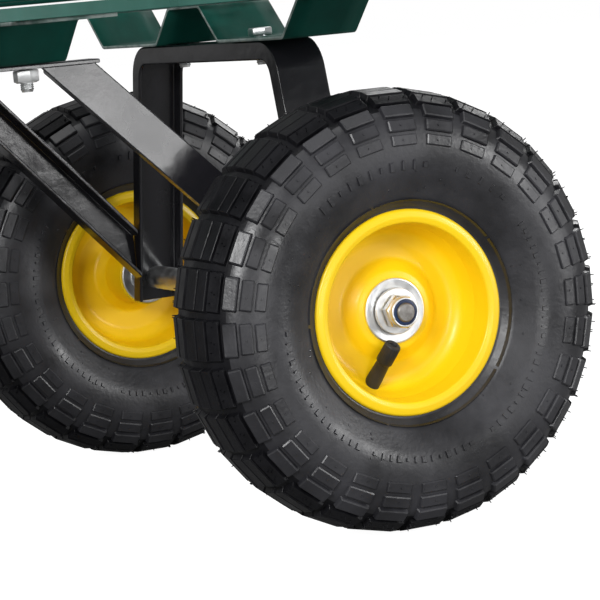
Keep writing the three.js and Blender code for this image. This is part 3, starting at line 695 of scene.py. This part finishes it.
wheel_piece("bearing_outer", bearing_shape(OUTER_SEAT, 1), [zinc], "bearing_outer")
wheel_piece("bearing_inner", bearing_shape(INNER_SEAT, -1), [zinc], "bearing_inner")

# %% [markdown]
# ## Valves
# The valve is a rubber stem that leans out of the bowl, with a cap whose side is ribbed for
# grip. It is turned like the rest, then every second column of the cap is drawn in, which
# makes the ribs from the vertices that are already there.

# %% Valves
VALVE_TURN = math.radians(160)
VALVE_STEPS = 48
RIB_DEPTH = 0.9
CAP_FOOT = 16.9
CAP_TOP = 28
def valve_point(radius, outboard):
    return Vector((radius * math.sin(VALVE_TURN), outboard, radius * math.cos(VALVE_TURN)))

def valve_shape():
    bm = bmesh.new()
    stem = rounded([(0, -9, 0), (4.9, -9, 0), (4.7, 3, 1), (4.1, 15.4, 0.4), (4.5, 15.6, 0.2),
                    (5.0, 16.4, 0.3), (5.0, 27.6, 0.5), (4.4, 28.8, 0.4), (2.4, 28.8, 0.2),
                    (2.2, 27.4, 0), (0, 27.4, 0)], steps=3)
    turn_shape(bm, stem, steps=VALVE_STEPS, closed=False)
    for v in bm.verts:
        on_cap = CAP_FOOT * MM < v.co.y < CAP_TOP * MM and v.co.xz.length > 4.7 * MM
        step = round(math.atan2(v.co.z, v.co.x) / math.tau * VALVE_STEPS)
        if on_cap and step % 2:
            v.co.x *= RIB_DEPTH
            v.co.z *= RIB_DEPTH
    foot, tip = valve_point(44, 1.5), valve_point(19.5, 17)
    lean = (tip - foot).to_track_quat("Y", "Z").to_matrix().to_4x4()
    return moved(bm, Matrix.Translation(foot * MM) @ lean)

wheel_piece("valve", valve_shape(), [valve_rubber], "inner_tube", sharp=40)

# %% [markdown]
# ## Washers and wheel nuts
# A washer and a nut close each end of an axle. They don't turn with the wheel, so they ride on
# the body that holds the axle, and their place is read from the CAD washer's own box.

# %% The end of an axle
def axle_end(label):
    """The matrix that puts a shape, outboard along +Y, on that wheel's washer seat."""
    low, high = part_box(f"washer_{label}")
    seat = high.y if WHEELS[label] else low.y
    middle = (low + high) / 2
    return Matrix.Translation((middle.x, seat, middle.z)) @ Matrix.Rotation(WHEELS[label], 4, "Z")

print("washer seat", tuple(round(v, 3) for v in axle_end("rear_left").translation))

# %% [markdown]
# A hexagon with its end corners taken off is a cone primitive with six sides, and a bevel on the
# edges of its two ends. It serves for every nut and bolt head on the cart.

# %% Hexagons
def hexagon(bm, radius, low, high, chamfer=0.8):
    lift = Matrix.Translation((0, (low + high) / 2 * MM, 0))
    made = bmesh.ops.create_cone(bm, segments=6, radius1=radius * MM, radius2=radius * MM,
        depth=(high - low) * MM, cap_ends=True, matrix=lift @ Matrix.Rotation(-math.pi / 2, 4, "X"))
    ends = [e for v in made["verts"] for e in v.link_edges
            if abs(e.verts[0].co.y - e.verts[1].co.y) < WELD]
    bmesh.ops.bevel(bm, geom=list(set(ends)), offset=chamfer * MM, segments=2, profile=0.5,
        affect="EDGES", material=-1, clamp_overlap=True)

def shade_new(bm, known, index):
    """Faces made since known faces were counted get that finish."""
    bm.faces.ensure_lookup_table()
    for f in bm.faces[known:]:
        f.material_index = index
    return len(bm.faces)

print("a hexagon of radius 10 is", round(10 * math.sqrt(3), 1), "across its flats")

# %% [markdown]
# The wheel nut is a locking nut: a hexagon, a round collar on top of it, and a nylon ring inside
# the collar that grips the thread. Each part gets its own finish as it is added.

# %% Locking nuts
NUT_RADIUS = 10.6
def lock_nut():
    bm = bmesh.new()
    hexagon(bm, NUT_RADIUS, 0.4, 6.4)
    count = shade_new(bm, 0, 0)
    collar = [(6.1, 6.2, 0), (9.3, 6.2, 0), (9.2, 8.6, 1.4), (8.6, 10, 0.6), (7.6, 10, 0.3),
              (7.6, 9.0, 0), (6.1, 9.0, 0)]
    turn_shape(bm, rounded(collar, steps=4), steps=48)
    count = shade_new(bm, count, 1)
    insert = [(5.6, 8.8, 0), (7.6, 8.8, 0), (7.5, 9.7, 0.3), (5.7, 9.7, 0)]
    turn_shape(bm, rounded(insert, steps=2), steps=48)
    shade_new(bm, count, 2)
    return bm

def washer_shape():
    bm = bmesh.new()
    outline = [(6.3, 0.1, 0), (13.6, 0.1, 0), (13.6, 2, 0.5), (6.3, 2, 0.3), (6.3, 1, 0)]
    turn_shape(bm, rounded(outline), steps=64)
    return bm

print("nut radius", NUT_RADIUS, "mm")

# %% [markdown]
# The nut is turned a little on its axle, as a tightened nut is: its flats line up with nothing.

# %% Washers and nuts in place
WASHER_HEIGHT = 2.3
NUT_TURN = 0.3
ON_WASHER = Matrix.Translation((0, WASHER_HEIGHT * MM, 0)) @ Matrix.Rotation(NUT_TURN, 4, "Y")
for label in WHEELS:
    body = "root" if label.startswith("rear") else "steering"
    washer = moved(washer_shape(), axle_end(label))
    piece(f"washer_{label}_full", washer, [zinc], body, [f"washer_{label}"])
    nut = moved(lock_nut(), axle_end(label) @ ON_WASHER)
    piece(f"wheel_nut_{label}_full", nut, [gold_zinc, zinc, nylon], body,
        [f"wheel_nut_{label}"])
print("washers and nuts", 2 * len(WHEELS))

# %% [markdown]
# ## Axles
# Each axle is a plain steel rod with a collar inside each wheel and a thread at each end. The
# thread is turned as rings, which reads the same as a helix at this size.

# %% Threads
def thread(inner, outer, low, high, pitch=1.5):
    """Outline points that go in and out once a pitch."""
    points = []
    turns = int((high - low) / pitch)
    for k in range(turns):
        points += [(inner, low + k * pitch), (outer, low + (k + 0.5) * pitch)]
    return points

print("rings on a 20 mm thread", len(thread(5.4, 6.0, 0, 20)) // 2)

# %% [markdown]
# Only one half of the axle is drawn. The other half is the same list, reversed, with the
# distances negated. Faces near the ends are left as bare steel, where the rod was cut.

# %% Axles
AXLE_RADIUS = 8
COLLAR_RADIUS = 12
COLLAR_WIDTH = 6
STUD_TO_COLLAR = 50
BARE_END = 3
def axle_shape(node, stud_start):
    low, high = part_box(node)
    half = (high.y - low.y) / 2 / MM
    collar = stud_start - STUD_TO_COLLAR
    corners = [(0, half, 0), (4.9, half, 0.3), (5.6, half - 0.9, 0), (5.6, half - BARE_END, 0),
               (6, half - 3.4, 0)]
    side = [tuple(p) for p in rounded(corners)]
    side += [(u, -v) for u, v in thread(5.4, 6.0, -(half - 4), -stud_start)]
    side += [(AXLE_RADIUS, stud_start), (AXLE_RADIUS, collar + COLLAR_WIDTH),
             (COLLAR_RADIUS, collar + COLLAR_WIDTH), (COLLAR_RADIUS, collar), (AXLE_RADIUS, collar)]
    outline = side + [(u, -v) for u, v in side[::-1]]
    bm = bmesh.new()
    turn_shape(bm, outline, steps=32, closed=False)
    for f in bm.faces:
        f.material_index = int(abs(f.calc_center_median().y) > (half - BARE_END) * MM)
    return moved(bm, Matrix.Translation((low + high) / 2))

STUD_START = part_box("washer_rear_left")[0].y / MM
for end_name, body in (("rear", "root"), ("front", "steering")):
    node = f"{end_name}_axle"
    piece(f"{node}_full", axle_shape(node, STUD_START), [zinc, dull_steel], body, [node])
print("stud starts at", round(STUD_START, 1))

# %% [markdown]
# ## Axle brackets
# A bracket is a U channel bent into an arch. A curve with a bevel profile could carry the
# section, but it narrows at the corners. Here the section is drawn once, at one foot, and then
# pushed up the leg, spun round the corner, pushed along the bar and down the other leg.

# %% Swept channel
def sweep(bm, section, moves):
    verts = [bm.verts.new(v) for v in section]
    edges = [bm.edges.new((verts[i], verts[i - 1])) for i in range(len(verts))]
    bmesh.ops.edgeloop_fill(bm, edges=edges)
    for move in moves:
        if move[0] == "straight":
            made = bmesh.ops.extrude_edge_only(bm, edges=edges)["geom"]
            verts = [g for g in made if isinstance(g, bmesh.types.BMVert)]
            bmesh.ops.translate(bm, verts=verts, vec=move[1])
        else:
            _, centre, axis, angle, steps = move
            made = bmesh.ops.spin(bm, geom=verts + edges, cent=centre, axis=axis, dvec=(0, 0, 0),
                angle=angle, steps=steps, use_merge=False, use_duplicate=False)["geom_last"]
            verts = [g for g in made if isinstance(g, bmesh.types.BMVert)]
        ring = set(verts)
        edges = list({e for v in verts for e in v.link_edges if ring.issuperset(e.verts)})
    bmesh.ops.edgeloop_fill(bm, edges=edges)
    bmesh.ops.recalc_face_normals(bm, faces=bm.faces)

print("sweep moves: straight by a vector, or spin about a centre")

# %% [markdown]
# The legs lean outwards towards the wheels. A leg starts a little below its foot and is cut off
# level, because the section is square to the leg and the foot is not.

# %% Bracket lines
CORNER = 24
WALL = 2.5
FLANGE = 12
SPLAY = 0.2375
FOOT_HALF = 151
FOOT_SPARE = 20
LEAN = math.atan(SPLAY)
LEG_OUT = Vector((0, math.cos(LEAN), math.sin(LEAN)))
def leg_at(level):
    """The outside of the left leg, in mm, at that height."""
    return Vector((0, FOOT_HALF - (level - rear_hub.z / MM) * SPLAY, level))

def channel_section(half_width):
    """A U channel as (inset, along) points."""
    inner = half_width - WALL
    return [(0, -half_width), (0, half_width), (FLANGE, half_width), (FLANGE, inner),
            (WALL, inner), (WALL, -inner), (FLANGE, -inner), (FLANGE, -half_width)]

print("legs lean", round(math.degrees(LEAN), 1), "degrees")

# %% Brackets
def bracket_shape(node):
    low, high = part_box(node)
    foot = low.z / MM
    tall = high.z / MM - CORNER
    start = leg_at(foot - FOOT_SPARE)
    centre = leg_at(tall) - Vector((0, CORNER / math.cos(LEAN), 0))
    section = channel_section((high.x - low.x) / 2 / MM)
    points = [(start - LEG_OUT * inset + Vector((x, 0, 0))) * MM for inset, x in section]
    leg = (centre + LEG_OUT * CORNER - start) * MM
    mirrored_leg = Vector((0, leg.y, -leg.z))
    bm = bmesh.new()
    turn = math.pi / 2 - LEAN
    other = Vector((0, -centre.y, centre.z)) * MM
    sweep(bm, points, [
        ("straight", leg), ("spin", centre * MM, (1, 0, 0), turn, 10),
        ("straight", Vector((0, -2 * centre.y * MM, 0))), ("spin", other, (1, 0, 0), turn, 10),
        ("straight", mirrored_leg),
    ])
    cut = bmesh.ops.bisect_plane(bm, geom=bm.verts[:] + bm.edges[:] + bm.faces[:], dist=WELD,
        plane_co=(0, 0, foot * MM), plane_no=(0, 0, -1), clear_outer=True)
    rim = [g for g in cut["geom_cut"] if isinstance(g, bmesh.types.BMEdge)]
    bmesh.ops.holes_fill(bm, edges=rim, sides=0)
    return moved(bm, Matrix.Translation(((low.x + high.x) / 2, 0, 0)))

for node, body in (("rear_bracket", "root"), ("front_bracket", "steering")):
    shape = bracket_shape(node)
    piece(f"{node}_full", shape, [black], body, [node], bevel=1.6)

# %% [markdown]
# ## Braces, tongue and plates
# These are flat pressed or welded shapes, which the CAD solids already have. Each gets an
# eased edge, as bent and painted sheet has.

# %% Eased pieces
for node in ("rear_brace_left", "rear_brace_right", "turntable_fixed_plate"):
    eased_copy(node, black, "root")
eased_copy("tongue", black, "steering", 1.2)
eased_copy("bed_frame", green, "root", 0.9)

# %% [markdown]
# The turning half of the turntable is a round plate with a boss below it, so it is turned about
# Y like the wheels and then stood upright.

# %% Turning plate
PLATE_THICKNESS = 4
BOSS_RADIUS = 26
def turning_plate():
    low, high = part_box("turntable_turning_plate")
    radius = (high.y - low.y) / 2 / MM
    top, bottom = high.z / MM, low.z / MM
    bm = bmesh.new()
    under = top - PLATE_THICKNESS
    outline = [(8.1, top, 0), (radius, top, 0.8), (radius, under, 0.8), (BOSS_RADIUS, under, 2),
               (BOSS_RADIUS, bottom, 0.5), (8.1, bottom, 0)]
    turn_shape(bm, rounded(outline), steps=96)
    moved(bm, Matrix.Rotation(math.pi / 2, 4, "X"))
    return moved(bm, Matrix.Translation(((low.x + high.x) / 2, 0, 0)))

piece("turning_plate_full", turning_plate(), [black], "steering",
    ["turntable_turning_plate"])
print("turning plate", PLATE_THICKNESS, "mm thick")

# %% [markdown]
# ## Cross members
# A cross member is one strip of sheet pressed into a wave: ridges carry the bed, and troughs
# take the bolts. The line is extruded along the cart and thickened, and the cut edge gets a pale
# finish, which is a painted highlight where the thin edges catch the light.

# %% Cross members
SHEET = 2
FOLD = 7
STEPS_ALONG = 4
def wave_line(trough, ridge, side):
    half = [(24, ridge, FOLD), (50, trough, FOLD), (146, trough, FOLD), (172, ridge, FOLD),
            (side, ridge, 0)]
    return rounded([(-u, v, r) for u, v, r in half[::-1]] + half, steps=6)

def member_shape(node):
    low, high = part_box(node)
    line = wave_line(low.z / MM, high.z / MM - SHEET, high.y / MM)
    bm = bmesh.new()
    verts = [bm.verts.new((low.x, u * MM, v * MM)) for u, v in line]
    edges = [bm.edges.new(pair) for pair in zip(verts, verts[1:])]
    for _ in range(STEPS_ALONG):
        made = bmesh.ops.extrude_edge_only(bm, edges=edges)["geom"]
        verts = [g for g in made if isinstance(g, bmesh.types.BMVert)]
        edges = [g for g in made if isinstance(g, bmesh.types.BMEdge)]
        bmesh.ops.translate(bm, verts=verts, vec=((high.x - low.x) / STEPS_ALONG, 0, 0))
    bmesh.ops.recalc_face_normals(bm, faces=bm.faces)
    if sum(f.normal.z for f in bm.faces) > 0:
        bmesh.ops.reverse_faces(bm, faces=bm.faces)
    return bm

for node in ("cross_member_rear", "cross_member_middle", "cross_member_front"):
    made = piece(f"{node}_full", member_shape(node), [satin_green, green_edge_highlight_paint], "root",
        [node], sharp=60)
    wall = made.modifiers.new("sheet", "SOLIDIFY")
    wall.thickness = SHEET * MM
    wall.offset = -1
    # The rim faces of the sheet get the cut edge's painted highlight.
    wall.material_offset_rim = 1
    print(node, "sheet", SHEET, "mm")

# %% [markdown]
# ## Bolts and nuts
# Every fastener is a hexagon with chamfered corners and a threaded end. It is made along Y, as
# all turned shapes are here, and then stood upright.

# %% Bolt and nut shapes
UPRIGHT = Matrix.Rotation(math.pi / 2, 4, "X")
def bolt_shape(head_radius, head, shank_radius, length):
    """Head above zero and shank below, along Y until it is stood upright."""
    bm = bmesh.new()
    hexagon(bm, head_radius, 0.2, head)
    rings = thread(shank_radius - 0.55, shank_radius, -length + 1, 0, 1.25)
    outline = [(0, -length), (shank_radius - 0.8, -length), *rings, (shank_radius, 1), (0, 1)]
    turn_shape(bm, outline, steps=32, closed=False)
    return moved(bm, UPRIGHT)

FACE_SHARE = 0.82
def nut_shape(radius, height, bore):
    bm = bmesh.new()
    hexagon(bm, radius, 0, height)
    flange = radius * FACE_SHARE
    face = [(bore, -0.4, 0), (flange, -0.4, 0.4), (flange, 0.5, 0), (bore, 0.5, 0)]
    turn_shape(bm, rounded(face, steps=2), steps=32)
    return moved(bm, UPRIGHT)

print("a nut's round face is", FACE_SHARE, "of its width")

# %% [markdown]
# Each fastener is placed from its CAD solid's own box. The bolts go down through the cross
# members, head up, and the nuts sit on the ends of their threads.

# %% Small fasteners
HEAD_RADIUS = 7.5
HEAD = 5
SHANK = 4
def place_fastener(shape, node, level):
    low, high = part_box(node)
    middle = (low + high) / 2
    moved(shape, Matrix.Translation((middle.x, middle.y, level)))
    piece(f"{node}_full", shape, [zinc], "root", [node])

def tall(node):
    low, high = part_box(node)
    return (high.z - low.z) / MM

for kind in ("bracket", "brace"):
    for side in ("left", "right"):
        bolt, nut = f"rear_{kind}_{side}_bolt", f"rear_{kind}_{side}_nut"
        shape = bolt_shape(HEAD_RADIUS, HEAD, SHANK, tall(bolt) - HEAD - 0.3)
        place_fastener(shape, bolt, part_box(bolt)[1].z - HEAD * MM)
        place_fastener(nut_shape(HEAD_RADIUS, tall(nut), SHANK - 0.1), nut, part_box(nut)[0].z)
print("bolt length", round(tall("rear_brace_left_bolt"), 1), "mm")

# %% [markdown]
# The kingpin is the one big bolt, which the front axle steers about.

# %% Kingpin
KINGPIN_HEAD_RADIUS = 13
KINGPIN_HEAD = 8
KINGPIN_RADIUS = 8
KINGPIN_NUT = 10
shape = bolt_shape(KINGPIN_HEAD_RADIUS, KINGPIN_HEAD, KINGPIN_RADIUS,
    tall("kingpin") - KINGPIN_HEAD)
place_fastener(shape, "kingpin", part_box("kingpin")[1].z - KINGPIN_HEAD * MM)
shape = nut_shape(KINGPIN_HEAD_RADIUS, KINGPIN_NUT, KINGPIN_RADIUS - 0.1)
place_fastener(shape, "kingpin_nut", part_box("kingpin_nut")[0].z)
print("kingpin length", round(tall("kingpin"), 1), "mm")

# %% [markdown]
# ## Bed floor and panels
# Floor and panels are welded wire: two layers of straight wires in a flat steel border. A
# Wireframe modifier on a grid would give one layer of square bars. Real wires cross over each
# other, so each wire is its own thin cylinder, with few sides because there are many.

# %% Wires and strips
WIRE_SIDES = 8
def wire(bm, first, last, radius, sides=WIRE_SIDES):
    line = Vector(last) - Vector(first)
    middle = (Vector(first) + Vector(last)) / 2
    turn = line.to_track_quat("Z", "X").to_matrix().to_4x4()
    bmesh.ops.create_cone(bm, segments=sides, radius1=radius, radius2=radius, depth=line.length,
        cap_ends=True, matrix=Matrix.Translation(middle) @ turn)

def strip(bm, low, high, edge=0.0012):
    """A flat bar between two corners, with eased edges."""
    low, high = Vector(low), Vector(high)
    made = bmesh.ops.create_cube(bm, size=1,
        matrix=Matrix.Translation((low + high) / 2) @ Matrix.Diagonal((*(high - low), 1)))
    edges = {e for v in made["verts"] for e in v.link_edges}
    bmesh.ops.bevel(bm, geom=list(edges), offset=edge, segments=2, profile=0.5, affect="EDGES",
        material=-1, clamp_overlap=True)

print("a wire has", WIRE_SIDES, "sides")

# %% [markdown]
# A plate lies in the plane of its box's two long sides, called u and v. The border is four
# strips. Each layer of wires sits just off the middle, close enough that the two layers press
# into each other, as welded wires do.

# %% A plate of wire mesh
LAYER_SHARE = 0.85
def wire_plate(bm, low, high, border, spacing, radius):
    """Adds a border and two layers of wires, and says how many wires there are."""
    thin = min(range(3), key=lambda k: high[k] - low[k])
    u, v = [k for k in range(3) if k != thin]
    middle = (low[thin] + high[thin]) / 2

    def corner(a, b, c):
        spot = Vector((0, 0, 0))
        spot[u], spot[v], spot[thin] = a, b, c
        return spot

    for a, b, c, d in (
        (low[u], low[u] + border, low[v], high[v]), (high[u] - border, high[u], low[v], high[v]),
        (low[u] + border, high[u] - border, low[v], low[v] + border),
        (low[u] + border, high[u] - border, high[v] - border, high[v]),
    ):
        strip(bm, corner(a, c, low[thin]), corner(b, d, high[thin]))
    wires = 0
    for axis_a, axis_b, layer in ((u, v, radius * LAYER_SHARE), (v, u, -radius * LAYER_SHARE)):
        room = high[axis_a] - low[axis_a] - border
        count = round(room / spacing)
        for k in range(1, count):
            at = low[axis_a] + border / 2 + k * room / count
            ends = []
            for far in (low[axis_b] + border / 2, high[axis_b] - border / 2):
                spot = Vector((0, 0, 0))
                spot[axis_a], spot[axis_b], spot[thin] = at, far, middle + layer
                ends.append(spot)
            wire(bm, ends[0], ends[1], radius)
            wires += 1
    return wires

print("layers lie", LAYER_SHARE, "of a wire's radius off the middle")

# %% [markdown]
# The floor's mesh is closer than the panels', because it carries the load.

# %% Bed floor
BORDER = 0.010
WIRE_RADIUS = 0.0016
FLOOR_SPACING = 0.034
floor_plate = bmesh.new()
wires = wire_plate(floor_plate, *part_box("floor_mesh"), BORDER, FLOOR_SPACING, WIRE_RADIUS)
piece("floor_mesh_full", floor_plate, [green], "root", ["floor_mesh"])
print("floor wires", wires)

# %% [markdown]
# A panel is a plate of mesh on two short straps. The straps are welded to a rod, and the rod
# turns in lugs on the bed frame, so the panel swings about the rod.

# %% Panel sizes
LIFT = 0.0104
HINGE_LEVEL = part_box("bed_frame")[1].z - 0.007
PANEL_SPACING = 0.045
PANEL_HALF_THICKNESS = 0.0025
SIDE_LENGTH, END_LENGTH = 0.9, 0.48
LUG_INSET = 0.110
ROD_RADIUS = 0.004
ROD_PAST_LUG = 0.014
STRAP_FROM_LUG = 0.034
STRAP_HALF = Vector((0.010, 0.002))
STRAP_OVERLAP = 0.006
print("hinge level", round(HINGE_LEVEL, 4))

# %% Straps and rod
def add_hinge(bm, along, across, centre, middle):
    """Two straps and the rod between them, with the rod's line at the hinge level."""
    lug = (END_LENGTH if along else SIDE_LENGTH) / 2 - LUG_INSET
    ends = []
    for sign in (-1, 1):
        spot = Vector((0, 0, HINGE_LEVEL))
        spot[along], spot[across] = centre + sign * (lug + ROD_PAST_LUG), middle
        ends.append(spot)
        strap_low, strap_high = spot.copy(), spot.copy()
        reach = centre + sign * (lug - STRAP_FROM_LUG)
        strap_low[along], strap_high[along] = reach - STRAP_HALF.x, reach + STRAP_HALF.x
        strap_low[across], strap_high[across] = middle - STRAP_HALF.y, middle + STRAP_HALF.y
        strap_high.z = HINGE_LEVEL + LIFT + STRAP_OVERLAP
        strip(bm, strap_low, strap_high, 0.0008)
    wire(bm, ends[0], ends[1], ROD_RADIUS, sides=24)

print("rod", 2 * ROD_RADIUS / MM, "mm across")

# %% [markdown]
# The same function makes the long sides and the short ends. It finds which way a panel runs from
# its CAD box.

# %% Panels
def panel_shape(node):
    low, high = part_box(node)
    along = 0 if high.x - low.x > high.y - low.y else 1
    across = 1 - along
    middle = (low[across] + high[across]) / 2
    plate_low, plate_high = low.copy(), high.copy()
    plate_low[across] = middle - PANEL_HALF_THICKNESS
    plate_high[across] = middle + PANEL_HALF_THICKNESS
    plate_low.z = HINGE_LEVEL + LIFT
    bm = bmesh.new()
    wires = wire_plate(bm, plate_low, plate_high, BORDER, PANEL_SPACING, WIRE_RADIUS)
    add_hinge(bm, along, across, (low[along] + high[along]) / 2, middle)
    return bm, wires

for node, body in (("side_panel_left", "side_left"), ("side_panel_right", "side_right"),
                   ("tailgate", "tailgate"), ("front_panel", "root")):
    shape, wires = panel_shape(node)
    piece(f"{node}_full", shape, [green], body, [node])
    print(node, "wires", wires)

# %% [markdown]
# ## Pull handle
# The handle is a steel tube with a bent loop on top. The loop could be swept like the brackets,
# but a curve with a round bevel makes a closed bent tube in one step, and it becomes a mesh
# before it is joined to the shaft.

# %% Bent tube
TUBE_BEVEL_STEPS = 6
def bent_tube(points, radius):
    """A closed round tube along the points, as a mesh."""
    line = bpy.data.curves.new("bent_tube", "CURVE")
    line.dimensions = "3D"
    line.bevel_depth = radius
    line.bevel_resolution = TUBE_BEVEL_STEPS
    spline = line.splines.new("POLY")
    spline.points.add(len(points) - 1)
    for point, spot in zip(spline.points, points):
        point.co = (*spot, 1)
    spline.use_cyclic_u = True
    curve = bpy.data.objects.new("bent_tube", line)
    scene.collection.objects.link(curve)
    mesh = bpy.data.meshes.new_from_object(
        curve.evaluated_get(bpy.context.evaluated_depsgraph_get()))
    bpy.data.objects.remove(curve)
    return mesh

print("sides of a bent tube", 2 * TUBE_BEVEL_STEPS + 4)

# %% [markdown]
# The loop's sides slope out from the top of the shaft, run up, and meet over the hand grip. The
# shaft ends in a short cross tube that the handle pin goes through.

# %% Handle sizes
SHAFT_RADIUS = 0.012
EYE_RADIUS = 0.014
EYE_HALF = 0.012
LOOP_RADIUS = 0.010
LOOP_HEIGHT = 0.090
SHOULDER = 0.028
LOOP_SINK = 0.006
pivot = sum(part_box("handle_pin"), Vector()) / 2
grip_low, grip_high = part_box("handle_grip")
loop_top = (grip_low.z + grip_high.z) / 2
shaft_low, shaft_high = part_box("handle_shaft")
half_loop = (shaft_high.y - shaft_low.y) / 2 - LOOP_RADIUS
shaft_end = loop_top - LOOP_HEIGHT
print("handle top", round(loop_top, 3))

# %% Handle
handle = bmesh.new()
wire(handle, (pivot.x, 0, pivot.z), (pivot.x, 0, shaft_end), SHAFT_RADIUS, sides=48)
wire(handle, (pivot.x, -EYE_HALF, pivot.z), (pivot.x, EYE_HALF, pivot.z), EYE_RADIUS, sides=48)
loop = rounded([(0, shaft_end - LOOP_SINK, 0), (-half_loop, shaft_end + SHOULDER, 0.022),
                (-half_loop, loop_top, 0.012), (half_loop, loop_top, 0.012),
                (half_loop, shaft_end + SHOULDER, 0.022), (0, shaft_end - LOOP_SINK, 0)], steps=8)
loop_mesh = bent_tube([(pivot.x, y, z) for y, z in loop[:-1]], LOOP_RADIUS)
handle.from_mesh(loop_mesh)
bpy.data.meshes.remove(loop_mesh)
piece("handle_shaft_full", handle, [black], "handle", ["handle_shaft"], sharp=45)
print("loop width", round(2 * half_loop, 3))

# %% [markdown]
# The grip is a moulded sleeve with rounded ribs round it, so it is one turned outline. The
# ribs are three corners each, repeated along its length.

# %% Grip
RIBS = 14
END_RING = 6
def grip_shape():
    half = (grip_high.y - grip_low.y) / 2 / MM
    corners = [(10.2, -half, 0), (14.2, -half, 1.5)]
    for k in range(RIBS):
        at = END_RING - half + k * 2 * (half - END_RING) / RIBS
        corners += [(13.4, at, 0.6), (15, at + 2, 0.8), (15, at + 4, 0.8)]
    corners += [(13.4, half - END_RING, 0.6), (14.2, half, 1.5), (10.2, half, 0)]
    bm = bmesh.new()
    turn_shape(bm, rounded(corners, steps=2), steps=48)
    return moved(bm, Matrix.Translation(((grip_low.x + grip_high.x) / 2, 0, loop_top)))

piece("handle_grip_full", grip_shape(), [grip_plastic], "handle", ["handle_grip"])
print("ribs", RIBS)

# %% [markdown]
# The handle pin is a plain rod with a flat round head at each end, and it stays with the tongue
# when the handle tips.

# %% Handle pin
PIN_RADIUS = 5
PIN_HEAD_RADIUS = 8
PIN_HEAD = 4
def pin_shape():
    low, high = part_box("handle_pin")
    half = (high.y - low.y) / 2 / MM
    corners = [(0, half, 0), (6, half, 0), (PIN_HEAD_RADIUS, half - 1.2, 1),
               (PIN_HEAD_RADIUS, half - PIN_HEAD, 0.3), (PIN_RADIUS, half - PIN_HEAD, 0)]
    side = [tuple(p) for p in rounded(corners)]
    bm = bmesh.new()
    turn_shape(bm, side + [(u, -v) for u, v in side[::-1]], steps=32, closed=False)
    return moved(bm, Matrix.Translation(pivot))

piece("handle_pin_full", pin_shape(), [zinc], "steering", ["handle_pin"])
print("pin", 2 * PIN_RADIUS, "mm across")
